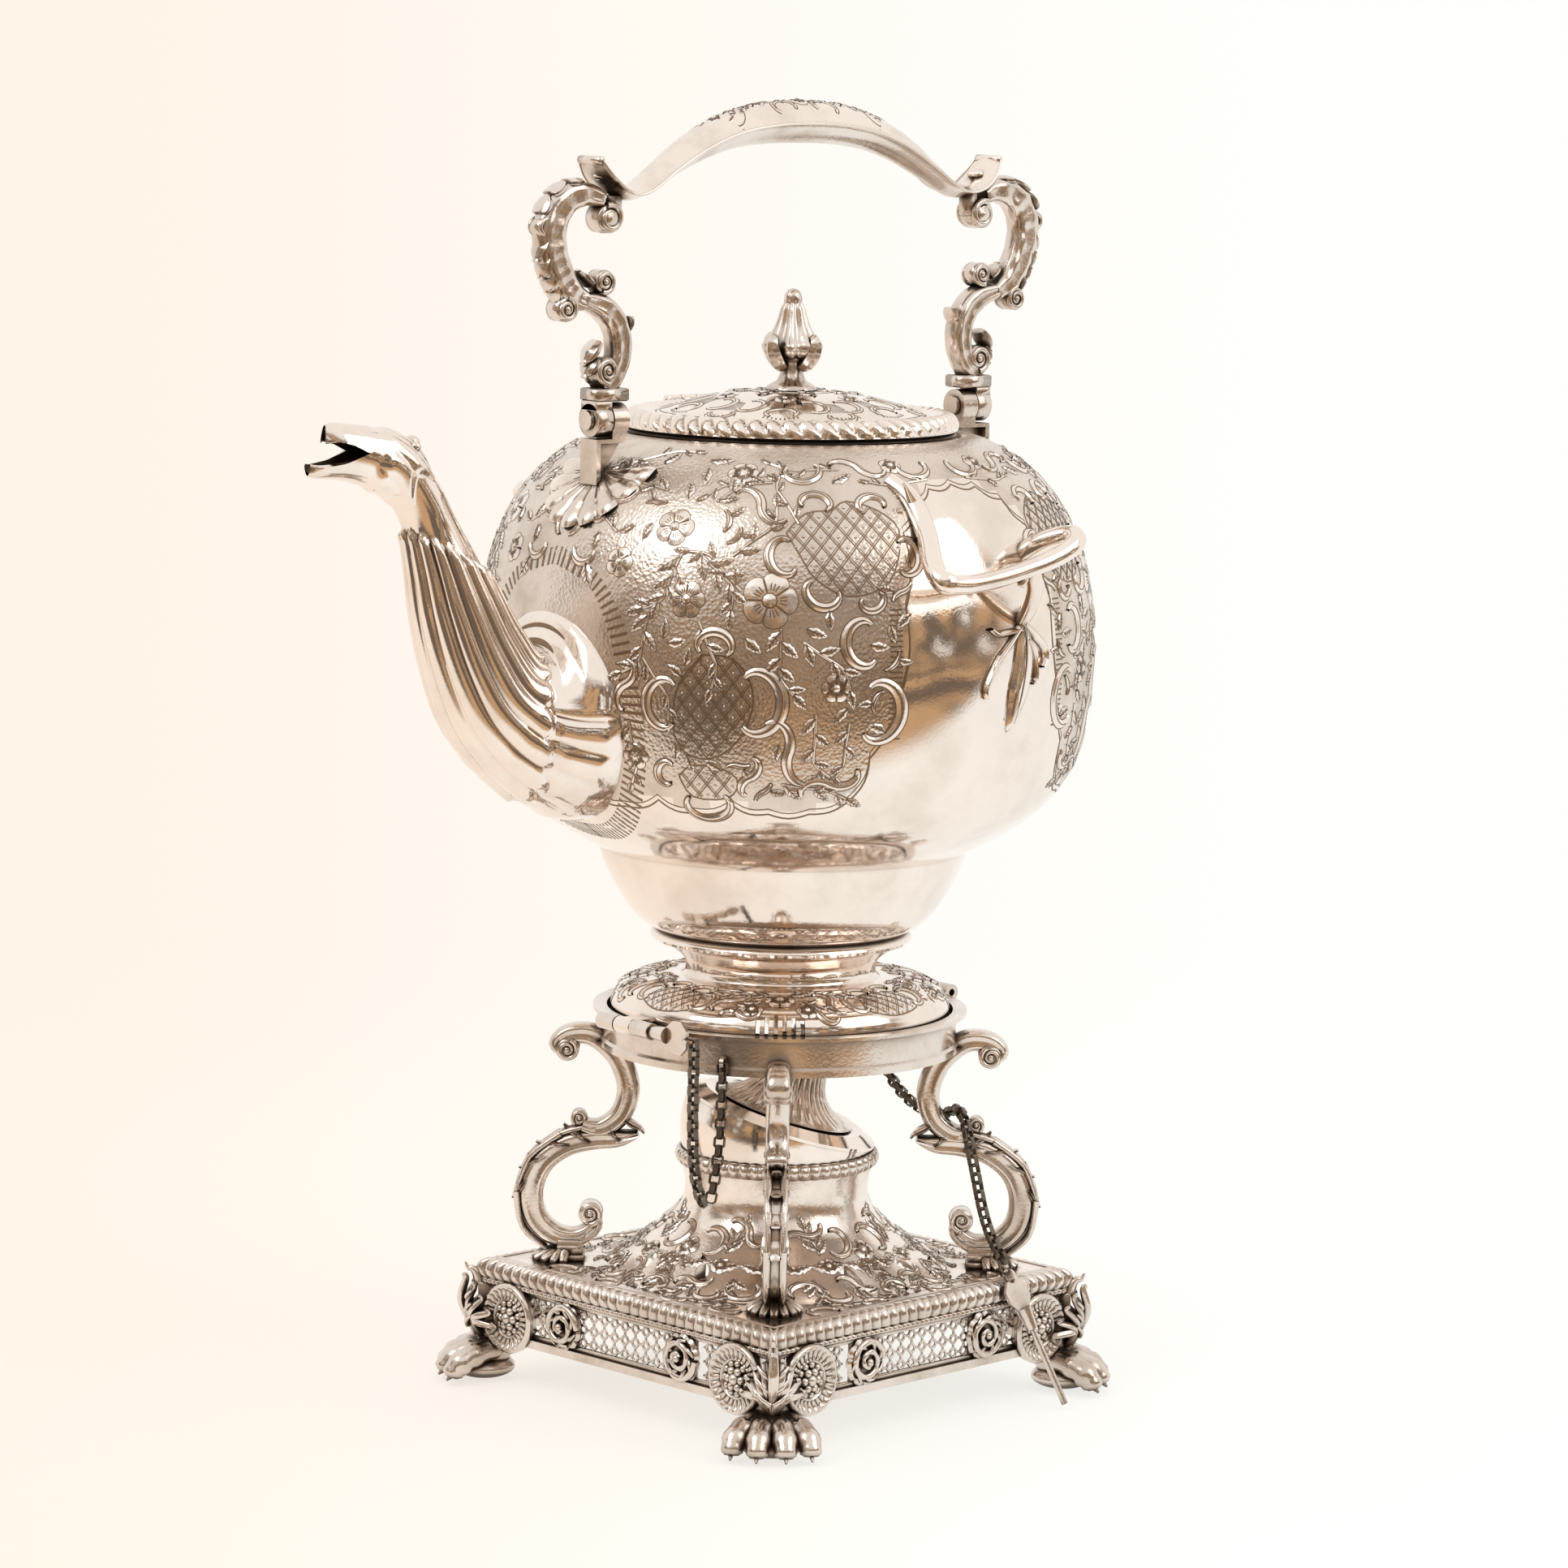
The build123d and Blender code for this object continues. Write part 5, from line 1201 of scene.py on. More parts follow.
class KETTLE_OT_lid(bpy.types.Operator):
    """Makes the lid with its gadroon border, and the bud finial"""

    bl_idname = "kettle.lid"
    bl_label = "Lid and finial"

    def execute(self, context):
        self.lid()
        self.finial()
        return {"FINISHED"}

    def lid(self):
        dome = smooth([(43.5, 307.8), (35, 310.8), (22, 314), (10, 315.5), (0.05, 315.6)], 6)
        border = [(52, 304.2), (52.2, 306.2), (51.2, 308.3), (49.2, 309.6), (46.6, 309.6), (44.6, 308.6)]
        under = [
            (0.05, 314.4), (10, 314.4), (22, 312.7), (35, 309.5), (42.6, 306.6), (43.8, 304.6), (43.8, 297),
            (45, 297), (45, 303.5), (50.8, 303.6),
        ]
        border_line = smooth(border, 4)

        def gadroon(angle, index, r, z):
            if index >= len(border_line):
                return r, z
            share = index / len(border_line)
            swell = sin(pi * share) ** 0.7
            lobe = abs(sin(29 * angle + 4.2 * share)) ** 0.6
            return r + 0.1 - 1.5 * swell * (1 - lobe), z - 1.2 * swell * (1 - lobe)

        lid = Form().lathe(border_line + dome + under, 432, closed=True, wave=gadroon)
        lid.rod((-3, *LID_HINGE), (3, *LID_HINGE), 2, edge=0.2)
        lid.make("lid_shell", "lid", (polished(),), ("lid",), sharp=50)
        work = Chasing(Turned(dome), round_copies(6))
        for *place, length in ((4, 15, 100, 20), (26, 15, 80, 20), (15, 6, 10, 16), (45, 9, 186, 18)):
            work.scroll(place, length, width=1.7, height=0.4)
        for base, reach in ((15, 12), (45, 14.5)):
            inner = [(base - 9, 5), (base, 3.6), (base + 9, 5)]
            outer = [(base - 4.5, 5 + reach), (base, 6 + reach), (base + 4.5, 5 + reach)]
            work.rays(inner, outer, 9)
        work.flower((45, 22.5, 0), 3.4, 5)
        work.spray((15, 27, 90), [(0, 0), (3, 0.6), (8, 0)], 4, 4)
        whole = Chasing(Turned(dome))
        for run, width in ((1.6, 0.4), (2.8, 0.3), (31.5, 0.3)):
            whole.form.skin([[whole.surface.at(3 * k, run - width / 2, 0.06),
                              whole.surface.at(3 * k, run + width / 2, 0.06)] for k in range(120)], 1, loop=True)
        whole.form.add(work.form)
        whole.make("lid_chasing", "lid", polished())

    def finial(self):
        stem = [
            (0.05, 310.2), (1.95, 310.2), (1.95, 315.6), (8, 315.8), (7.6, 316.8), (6.6, 317.5), (4.6, 318.6),
            (3.7, 320.6), (3.2, 322.6), (3.7, 324.4), (5.4, 325.6),
        ]
        bud = smooth([
            (5.4, 325.6), (7.8, 327), (8.6, 329.4), (7.2, 331.4), (6.2, 333), (5, 335.6), (4.1, 338.4), (3.4, 341),
            (2.5, 342.6),
        ], 4)
        top = [(2.9, 343.4), (2.7, 345.2), (1.7, 346.6), (0.05, 347.1)]
        line = stem + bud + top
        finial = Form().lathe(line, 96, wave=lambda angle, index, r, z: (
            r * (1 + (0.11 * cos(8 * angle) if len(stem) <= index < len(line) - 4 else 0)), z))
        # four scrolled petals turn out under the bud
        for quarter in range(4):
            petal = [
                (3.6, 0, 322.8, 2.6), (6.2, 0, 324.2, 4.6), (8.6, 0, 327.4, 5.2), (9.4, 0, 330.2, 4.2),
                (8.4, 0, 331.9, 2.6), (7.5, 0, 331, 1.6),
            ]
            line = smooth(petal, 5)
            one = Form().sweep(line, lambda index: round_section(line[index][3] / 2, 12, 0.9, 4, 0.12), (0, 1, 0))
            finial.add(one, spun(90 * quarter + 10))
        finial.make("finial_bud", "lid", (cast(),), ("finial",), sharp=55)


# ---- spout

SPOUT = [
    (-84, 221, 31.5, 33.5), (-93, 221, 30, 32), (-101, 221.5, 25, 26), (-108.5, 224, 20, 20.5), (-116, 230, 17, 17),
    (-123.4, 242.6, 14.4, 14.7), (-129.3, 256.3, 12.2, 12.6), (-134, 268.6, 10, 10.1), (-138.6, 279.4, 8.2, 8.1),
    (-143.4, 288.2, 7.7, 7.9), (-150.6, 296.4, 7.5, 8.6), (-160, 300.4, 7, 8.9), (-170, 302.4, 6.3, 8.4),
    (-182, 303.6, 5.4, 8.6),
]
SPOUT_STEPS = 9
SPOUT_WALL = 1.1
MOUTH_CORNER = (-165, 302.2)


def eased(value, low, high):
    """0 below low and 1 above high, with a smooth rise between them."""
    share = min(max((value - low) / (high - low), 0), 1)
    return share * share * (3 - 2 * share)


class KETTLE_OT_spout(bpy.types.Operator):
    """Makes the swan-necked spout: lobed root, fluted shell, plain neck and open beak"""

    bl_idname = "kettle.spout"
    bl_label = "Spout"

    def execute(self, context):
        self.line = smooth(SPOUT, SPOUT_STEPS)
        self.body = Turned(vessel_line())
        last = max(index for index, spot in enumerate(self.line) if spot[0] > MOUTH_CORNER[0])
        spout = Form()
        rounds = range(0, 360, 2)
        spout.skin([[self.point(index, radians(side)) for side in rounds] for index in range(last + 1)], ring=True,
                   flip=True)
        # the inner wall takes the dark line finish: patina and painted shade inside the spout
        spout.skin([[self.point(index, radians(side), SPOUT_WALL) for side in rounds] for index in range(last + 1)],
                   ring=True, finish=1)
        self.jaw(spout, last, 1, [(-165, 302.2), (-170, 304.6), (-178, 306.8)], -177)
        self.jaw(spout, last, -1, [(-165, 302.2), (-172, 299.4), (-184.5, 297.4)], -182.6)
        spout.ball((-145.4, 0, 304.4), 2.5, 0.85)
        for side in (-1, 1):
            spout.ball((-147, side * 4.2, 303.4), 1.7, 0.9)
        spout.make("spout_shell", "kettle", (polished(), patina_and_shade_line()), ("spout",))
        return {"FINISHED"}

    def point(self, index, side, wall=0):
        """A point of the spout's skin, side radians round from its far side, a wall's depth inside."""
        x, z, wide, high = self.line[index][:4]
        up = left_of(self.line, index)
        grow = -wall if wall else self.relief(index / SPOUT_STEPS, side)
        across = (wide + grow) * cos(side)
        rise = (high + grow) * sin(side)
        spot = Vector((x - up[0] * rise, across, z - up[1] * rise))
        reach = hypot(spot.x, spot.y)
        skin = self.body.spot(self.body.run_at(min(max(spot.z, 150), 302)))[0] - 0.35
        if reach < skin:
            spot.x, spot.y = spot.x * skin / reach, spot.y * skin / reach
        return spot

    def relief(self, station, side):
        """Flutes on the shell, lobes on the root and leaves on the beak."""
        low = (1 - sin(side)) / 2
        flute = abs(sin(8 * side + 0.4)) ** 0.55
        top, bottom = 6.1 + 1.9 * low, 4.1 - 2.0 * low
        edge = 0.32 * flute
        shell = eased(station, bottom - edge, bottom - edge + 0.22)
        shell *= 1 - eased(station, top + edge - 0.1, top + edge)
        height = shell * (0.4 + 1.5 * flute)
        root = (1 - eased(station, bottom - edge - 0.2, bottom - edge)) * eased(low, 0.4, 0.5)
        lobe = abs(sin(pi * (low - 0.5) * 6.4)) ** 0.6
        ends = eased(station, 0.7, 1.15)
        height += root * (1.7 * lobe - 1) * ends
        if 8.9 < station < 11.4:
            leaf = eased(station, 9.2 + 0.5 * abs(sin(2.5 * side)), 9.5 + 0.5 * abs(sin(2.5 * side)))
            leaf *= 1 - eased(station, 10.7, 11.2)
            height += leaf * (0.5 + 0.6 * abs(sin(4 * side + 1.6 * station)) ** 0.7)
        return height

    def jaw(self, spout, first, hand, notch, tip):
        """One lip of the beak: the wall above or below the notch, closed along its edge."""
        rows = []
        finishes = []
        for index in range(first, len(self.line)):
            x, z, wide, high = self.line[index][:4]
            share = min(max((x - MOUTH_CORNER[0]) / (tip - MOUTH_CORNER[0]), 0), 1)
            level = notch[0 if x > notch[0][0] else -1][1]
            for (a, low), (b, top) in zip(notch, notch[1:]):
                if b <= x <= a:
                    level = low + (top - low) * (a - x) / (a - b)
            start = asin(min(max(hand * (level - z) / high, -0.96), 0.96))
            taper = sqrt(max(1 - share ** 5, 0.08))
            row = []
            for wall in (0, SPOUT_WALL):
                sides = [start + (pi - 2 * start) * step / 28 for step in range(29)]
                if wall:
                    sides.reverse()
                for side in sides:
                    spot = self.point(index, hand * side, wall)
                    row.append((max(spot.x, tip), spot.y * taper, spot.z - 1.6 * hand * share ** 4 * (1 - taper)))
            rows.append(row)
            if x < tip:
                break
        # the inner side of each lip takes the dark line finish: patina and painted shade
        bands = [0] * 29 + [1] * 28 + [0]
        spout.skin(rows, ring=True, bands=bands, flip=hand > 0)


# ---- side handles and post shells

BRANCH = [
    (-19.7, -70, 293), (-18, -77.5, 288.5), (-20, -87, 279.6), (-26.5, -98, 271), (-27.6, -104.2, 266.6),
    (-20, -105.7, 265.4), (-8, -105.6, 266.4), (4, -105.6, 268.6), (15, -106, 271.6), (23, -105.6, 275.2),
    (26, -101.4, 277.4), (22.4, -93, 275), (18, -84, 268.5),
]
BRANCH_STEM = [(6, -105.6, 269), (9, -104, 263), (11.6, -98.6, 255.6), (13.7, -91, 249)]
HANDLE_LEAF = [
    (13.2, 256), (15.4, 250), (17.4, 243), (17, 236), (14.4, 228), (11, 222), (7.7, 218.6), (7.2, 224), (7.6, 230),
    (9.4, 238), (11.2, 247),
]
TENDRILS = (
    [(12.6, 251, 2), (7, 245.4, 1.9), (1.4, 240, 1.7), (-2.6, 233, 1.4), (-2.4, 229.4, 1)],
    [(12.6, 251, 2.2), (18, 247.4, 2.2), (22.6, 243.6, 2.1), (23.6, 240, 1.8), (21.6, 237.4, 1.3)],
    [(12, 249, 1.8), (6.8, 248.6, 1.9), (2.6, 248.4, 1.7), (-0.6, 250, 1.1)],
    [(14.6, 246, 1.6), (18, 240, 1.6), (18.6, 234.4, 1.2), (16.8, 232.6, 0.8)],
)


class KETTLE_OT_side_handles(bpy.types.Operator):
    """Makes the two branch handles with their leaves, and the scallop shells under the bail's posts"""

    bl_idname = "kettle.side_handles"
    bl_label = "Side handles and shells"

    def execute(self, context):
        surface = Turned(vessel_line())
        handle = self.branch(surface)
        for name, angle in (("near", 0), ("far", 180)):
            Form().add(handle, spun(angle)).make(f"side_handle_{name}_branch", "kettle", (polished(), patina_and_shade_line()),
                                                 (f"side_handle_{name}",))
        for name, angle in (("left", 180), ("right", 0)):
            self.shell(surface, angle).make(f"post_shell_{name}_scallop", "kettle", (chased(), patina_and_shade_line()),
                                            (f"post_shell_{name}",))
        return {"FINISHED"}

    def branch(self, surface):
        line = smooth(BRANCH, 8)
        count = len(line)

        def grain(index):
            share = index / count
            swell = 1 + 0.16 * exp(-((share - 0.34) / 0.025) ** 2) + 0.12 * exp(-((share - 0.93) / 0.04) ** 2)
            return round_section((3 + 0.25 * sin(9 * share)) * swell, 28, 1, 5, 0.03)

        handle = Form().sweep(line, grain)
        stem = smooth(BRANCH_STEM, 6)
        handle.sweep(stem, lambda index: round_section(2.5 - 0.3 * index / len(stem), 20, 1, 4, 0.04))
        # pruned stubs and a thorn
        for spot, way, size in (
            ((-21.8, -92, 276), (-2.6, -1.6, -1), 1.5), ((3, -106.2, 266.6), (-1.4, 0.4, -2.8), 1.4),
            ((24.6, -104, 275.8), (2.2, -0.6, 2), 1.6),
        ):
            end = Vector(spot) + Vector(way)
            handle.rod(spot, end, size, size * 0.92, 14, edge=0.3)
        handle.rod((-18.6, -80, 287), (-24.4, -81.5, 294), 2, 0.25, 14)
        work = Chasing(surface)
        place = (-90, surface.run_at(238), 0)

        def seen(x, z, *more):
            radius = surface.spot(surface.run_at(z))[0]
            return (asin(x / radius) * surface.spot(place[1])[0], surface.run_at(z) - place[1], *more)

        outline = smooth([seen(x, z) for x, z in HANDLE_LEAF + HANDLE_LEAF[:1]], 4)[:-1]
        work.pad(place, outline, 2.2, 0.35)
        spine = smooth([seen(12.6, 250, 0.5), seen(12.6, 240, 0.5), seen(10.8, 230, 0.4), seen(8.4, 221.4, 0.2)], 4)
        work.score(place, spine, 2.36)
        for tendril in TENDRILS:
            work.rib(place, smooth([seen(*spot) for spot in tendril], 6), 2, 0.3)
        return handle.add(work.form)

    def shell(self, surface, angle):
        work = Chasing(surface)
        place = (angle, surface.run_at(293), 0)
        rows = []
        for ring in range(15):
            share = ring / 14
            row = []
            for step in range(113):
                turn = radians(-192 + 204 * step / 112)
                fold = abs(sin(pi * 9 * step / 112))
                edge = 19.4 + 2.2 * fold ** 0.6
                reach = 1.5 + (edge - 1.5) * min(share, 0.985)
                drop = 0 if share < 1 else 0.9
                lift = 0.35 + share * (0.2 + 1.6 * fold ** 0.8) + 0.15 * sin(8 * pi * share) * share - drop
                spot = work.walk(place, reach * cos(turn), 1.02 * reach * sin(turn))
                row.append(surface.at(*spot, max(lift, 0.05)))
            rows.append(row)
        work.form.skin(rows)
        for step in range(28):
            work.vein(place, 3, 12.5, radians(-190 + 200 * (step + 0.5) / 28), 0.22, 0.95)
        return work.form


# ---- bail

GRIP = [
    (0, 398, 18, 6.5, 6.2), (13, 397.5, 17.8, 6.4, 6), (26, 395.6, 17, 5.9, 5.6), (37, 392, 16, 5.2, 5),
    (46, 387.6, 15.2, 4.4, 4.3), (54, 382.8, 15, 3.4, 3.4), (60.5, 378.6, 15.4, 2.6, 2.7), (66.5, 376.6, 16, 2, 2.1),
    (72, 378, 17, 1.7, 1.6), (76.6, 381.8, 15.8, 1.4, 1.3), (80, 386.6, 12, 1.2, 1.2),
]
UPPER_ARM = [
    (77, 375, 5), (83.5, 376.6, 7.5), (90.5, 374.4, 9.2), (94.8, 368, 10.2), (94.9, 360.5, 10.2), (92, 353, 9.6),
    (88, 347.5, 8.4), (82.8, 344.6, 6),
]
LOWER_ARM = [
    (85.5, 345.6, 4), (76.2, 343, 7.4), (71, 338.6, 7.8), (68.9, 333, 7.8), (69.1, 327, 7.4), (71.6, 321.6, 7),
    (75.2, 317.6, 6.4),
]
SCROLL_DEPTH = 8
VOLUTE_TURNS = 1.6


def scroll_bar(form, points, groove, leafy=0):
    """A cast scroll in the XZ plane: each point is (x, z, width), and both broad sides hold a groove."""
    line = smooth(points, 6)

    def section(index):
        width = line[index][2]
        row = []
        for side in range(28):
            angle = TURN * side / 28
            c, s = cos(angle), sin(angle)
            u = width / 2 * abs(c) ** 0.75 * (1 if c > 0 else -1)
            v = SCROLL_DEPTH / 2 * abs(s) ** 0.75 * (1 if s > 0 else -1)
            v -= groove * exp(-(c / 0.22) ** 2) * (1 if s > 0 else -1)
            if leafy:
                u *= 1 + leafy * (1 if c > 0 else 0) * abs(sin(0.55 * index)) ** 0.6
                v *= 1 + 0.5 * leafy * sin(1.1 * index)
            row.append((u, v))
        return row

    return form.sweep([(x, 0, z) for x, z, _ in line], section, (0, 1, 0))


def volute(form, x, z, radius, depth, hand, start):
    """A scroll's curled end in the XZ plane: a disc with a spiral bead on both broad sides."""
    form.rod((x, -depth / 2 + 0.7, z), (x, depth / 2 - 0.7, z), radius, sides=24, edge=0.5)
    spiral = []
    for step in range(29):
        share = step / 28
        angle = start + hand * TURN * VOLUTE_TURNS * share
        reach = radius * (0.94 - 0.7 * share)
        spiral.append((x + reach * cos(angle), z + reach * sin(angle)))
    for side in (-1, 1):
        form.sweep([(a, side * (depth / 2 - 0.7), b) for a, b in spiral],
                   lambda index: round_section(radius * (0.25 - 0.11 * index / 28), 8), (0, 1, 0))
        form.ball((x, side * (depth / 2 - 0.8), z), 0.24 * radius + 0.25, sides=10)
    return form


def curled_leaf(form, x, z, turn, points, depth):
    """A small leaf that curls in the XZ plane from a place; each point is (x, z, thickness)."""
    place = Matrix.Translation((x, 0, z)) @ Matrix.Rotation(radians(-turn), 4, "Y")
    line = smooth(points, 5)

    def section(index):
        broad = depth / 2 * (0.35 + 0.65 * sin(pi * min(index / len(line) + 0.25, 1)))
        angles = [TURN * k / 16 for k in range(16)]
        return [(line[index][2] / 2 * cos(a), broad * sin(a) * (1 + 0.14 * cos(6 * a))) for a in angles]

    return form.add(Form().sweep([(x, 0, z) for x, z, _ in line], section, (0, 1, 0)), place)


class Saddle(Plate):
    """The top of the bail's grip, walked on by distance along it and across it."""

    def __init__(self, line):
        self.line = line

    def at(self, x, y, lift=0):
        for a, b in zip(self.line, self.line[1:]):
            if a[0] <= x <= b[0]:
                break
        share = min(max((x - a[0]) / (b[0] - a[0]), 0), 1)
        z, width, rise = (a[k] + (b[k] - a[k]) * share for k in (1, 2, 3))
        return (x, y, z + rise * (1 - min(abs(2 * y / width), 1) ** 2) + lift)


class KETTLE_OT_bail(bpy.types.Operator):
    """Makes the bail: the engraved grip and its two scrolled arms"""

    bl_idname = "kettle.bail"
    bl_label = "Bail"

    def execute(self, context):
        self.grip()
        for name, side in (("left", -1), ("right", 1)):
            mirror = Matrix.Diagonal((side, 1, 1, 1))
            Form().add(self.arm(), mirror).make(f"bail_arm_{name}_scroll", "bail", (cast(),), (f"bail_arm_{name}",))
        return {"FINISHED"}

    def grip(self):
        line = smooth([(-x, *rest) for x, *rest in GRIP[:0:-1]] + GRIP, 6)
        top, under = Form(), Form()

        def arch(index, hand):
            _, _, width, rise, fall = line[index]
            row = []
            for step in range(21):
                y = width / 2 * (2 * step / 20 - 1)
                share = abs(2 * step / 20 - 1)
                swell = (1 - share ** 2) * (rise if hand > 0 else -fall)
                if hand < 0:
                    # the granular underside is hollowed either side of its keel
                    swell += 0.28 * fall * sin(pi * share) ** 2
                row.append((y, swell))
            return row

        for hand, form in ((1, top), (-1, under)):
            rows = []
            for index, (x, z, *_) in enumerate(line):
                up = left_of(line, index)
                rows.append([(x + up[0] * v, y, z + up[1] * v) for y, v in arch(index, hand)])
            form.skin(rows, finish=0 if hand > 0 else 1, flip=hand > 0)
        top.add(under)
        for side in (-1, 1):
            edge = [(x, side * width / 2, z) for x, z, width, *_ in line]
            top.sweep(edge, tapered(0.42))
            top.rod((side * 80, -5.6, 386.7), (side * 80, 5.6, 386.7), 1.3, edge=0.4)
            top.ball((side * 75.4, 0, 381.9), 3.4, 0.45, wave=lambda angle: 1 + 0.12 * cos(6 * angle))
        top.make("grip_saddle", "bail", (chased(), cast()), ("grip",))
        work = Chasing(Saddle(line), (lambda x, y: (x, y), lambda x, y: (-x, y)), (False, True))
        for *place, length, opposed in (
            (8, 3.4, 8, 16, 0), (8, -3.4, 172, 16, 0), (25, 3, -14, 18, 1), (24, -3.6, 160, 16, 1),
            (40, 2.2, 160, 13, 0), (41, -2.6, 10, 13, 0), (52, 0, 175, 12, 1),
        ):
            work.scroll(place, length, width=1.4, height=0.3, opposed=opposed)
        for x, y, radius in ((0, 0, 3.4), (17, 0, 2.8), (33, 0, 2.8), (46.5, 0.2, 2.2)):
            work.flower((x, y, 0), radius, 5)
        for place in ((4, 0, 0), (30, 0, 180), (36, 0.4, 0), (58, 0, 180), (20, -1, -20)):
            work.spray(place, [(0, 0), (4, 0.6), (9, 0.2)], 4, 3)
        work.make("grip_chasing", "bail")

    def arm(self):
        """The arm on the +X side: two opposed scrolls with leaves, buds and the outer knuckle."""
        arm = Form()
        scroll_bar(arm, UPPER_ARM, 0.5, 0.09)
        scroll_bar(arm, LOWER_ARM, 0.7, 0.05)
        arm.ball((75, 0, 369.4), 4.8, wave=lambda angle: 1 + 0.04 * cos(10 * angle))
        for curl in (
            (75, 369.4, 4.5, 8.6, 1, 1.2), (98.2, 366.7, 3.2, 6.6, -1, 2.4), (90.6, 342.4, 3.8, 7.6, 1, 1.6),
            (76, 350.4, 3.6, 7, -1, -1.2), (75, 323.6, 4.2, 8.2, 1, -1.6),
        ):
            volute(arm, *curl)
        arm.rod((71.8, 0, 369), (71.8, 0, 376.2), 3, edge=0.3)
        # acanthus along the outside of the upper scroll, a leaf at the foot
        for x, z, turn, size in (
            (86.5, 379.6, 158, 1), (92.8, 377.8, 128, 1.05), (97.4, 373.2, 100, 1), (99, 360.6, -84, 1.15),
            (98, 355.6, -96, 1.1), (96, 350.9, -106, 1), (93.6, 347, -120, 0.9), (79.6, 329.6, -70, 1.3),
            (80, 325, -80, 1), (66.4, 337.4, -110, 0.8), (82, 351.6, 20, 0.9),
        ):
            curled_leaf(arm, x, z, turn, [(-2.6 * size, -1.4, 2.6), (0, -0.4, 3.2 * size), (2.4 * size, 0.4, 2.4),
                                          (3.6 * size, 1.3, 1.1)], 7.4)
        arm.block((67.75, -4.5, 314.4), (79.45, 4.5, 318.4), edge=0.5)
        arm.block((73.75, -4, 311.6), (79.45, 4, 314.6), edge=0.2)
        knuckle = Form().lathe([(1.75, 0), (5, 0), (5.2, 0.25), (5.2, 5.45), (5, 5.7), (1.75, 5.7)], 48, closed=True)
        arm.add(knuckle, Matrix.Translation((73.75, 0, BAIL_AXIS)) @ Matrix.Rotation(radians(90), 4, "Y"))
        return arm


# ---- lamp and its collar

MOUND = [(57.5, PLATE_TOP), (50, 41.5), (34, 53.2), (29, 65), (30.2, 71.5)]
LAMP_LEAN = Matrix.Translation((0, 0, 82.6)) @ Matrix.Rotation(
    radians(17), 4, Vector((sin(radians(40)), cos(radians(40)), 0)))


class KETTLE_OT_lamp(bpy.types.Operator):
    """Makes the lamp's fluted cone and shoulder, and the beaded collar that it rests in"""

    bl_idname = "kettle.lamp"
    bl_label = "Lamp"

    def execute(self, context):
        cone = smooth([(22.4, 6.7), (20.8, 7.2), (15.6, 9.8), (11.6, 14), (9.8, 20), (9, 28)], 6)
        inner = smooth([(7.6, 28), (8.4, 20), (10.4, 13.2), (14.6, 8.4), (20, 5.8), (21, 6)], 3)

        def flute(angle, index, r, z):
            if 2 < index < len(cone):
                fold = abs(sin(17 * angle + 0.35 * sin(5 * angle) + 0.02 * z)) ** 0.6
                r -= (1 - fold) * 0.75 * eased(21 - r, 0, 2)
            return r, z

        form = Form().lathe(cone + inner, 288, closed=True, wave=flute)
        Form().add(form, LAMP_LEAN).make("lamp_cone_fluted", "lamp", (chased(),), ("lamp_cone",))
        collar = Form()
        outline = [(30.5, 71.5), (31, 71.5), (31.9, 72.3), (32.4, 73.9), (31.9, 75.6), (31, 76.4), (30.5, 76.4)]

        def bead(angle, index, r, z):
            swell = abs(sin(26 * angle + 0.1 * (z - 74))) ** 0.7
            return (r - (0 if index in (0, 6) else 0.9 * (1 - swell)), z)

        collar.lathe(outline, 520, closed=True, wave=bead)
        collar.make("lamp_collar_beads", "stand", (cast(),), ("lamp_collar",))
        self.mound()
        dress(polished(), "lamp_bowl", "wick_tube")
        return {"FINISHED"}

    def mound(self):
        """Flowers, leaves and scrolls round the pierced slope, and fans in the plate's corners."""
        surface = Turned(arcs(MOUND, (-0.97, 0.15)))
        work = Chasing(surface, round_copies(4, STAND_TURN))
        for *place, radius, petals in (
            (0, 22, 0, 4.2, 5), (45, 24.5, 0, 4.6, 6), (22, 16.5, 0, 3.2, 5), (68, 17, 0, 3.2, 5),
        ):
            work.flower(place, radius, petals)
        for *place, length, opposed in (
            (-12, 26, 70, 20, 0), (12, 26, 110, 20, 0), (30, 30, 150, 18, 1), (60, 30, 30, 18, 1),
            (34, 6.5, 4, 20, 0), (56, 6.5, 176, 20, 0), (0, 5, 180, 16, 0), (14, 9, 20, 16, 1), (76, 9, 160, 16, 1),
            (22, 4, 0, 14, 0), (67, 4, 0, 14, 0),
        ):
            work.scroll(place, length, width=2.2, opposed=opposed)
        for *place, bend in (
            (3, 19, 232, 3), (-5, 19, -52, -3), (48, 21, 236, 3), (42, 21, -56, -3), (22, 22, 60, 3),
            (66, 22, 120, -3), (17, 8, 200, 3), (74, 8, -20, -3), (45, 12, 262, 2), (0, 12, 262, 2), (30, 12, 250, 3),
            (60, 12, -70, -3),
        ):
            work.spray(place, [(0, 0), (4, bend * 0.6), (10, bend)], 5, 6.2)
        for side in (-1, 1):
            for angle in (8, 23, 38, 53, 68, 83):
                work.leaf((angle + 2 * side, 15, 90 + side * 66), 8, 3.4, 0.1 * side)
        work.make("mound_chasing", "stand")
        plate = Form()
        for quarter in range(4):
            flat = Chasing(Plate(spun(45 + STAND_TURN + 90 * quarter, (0, 0, PLATE_TOP))))
            for across in (-1, 1):
                flat.scroll((66, 15 * across, -45 * across), 20, width=2)
                flat.scroll((52, 31 * across, -50 * across), 16, width=1.8)
                flat.spray((62, 11 * across, 118 * across), [(0, 0), (6, 1), (14, 0)], 5, 5)
            plate.add(flat.form)
        plate.make("plate_chasing", "stand", (chased(), patina_and_shade_line()))
        dress(chased(), "base_plate")


# ---- border and gallery

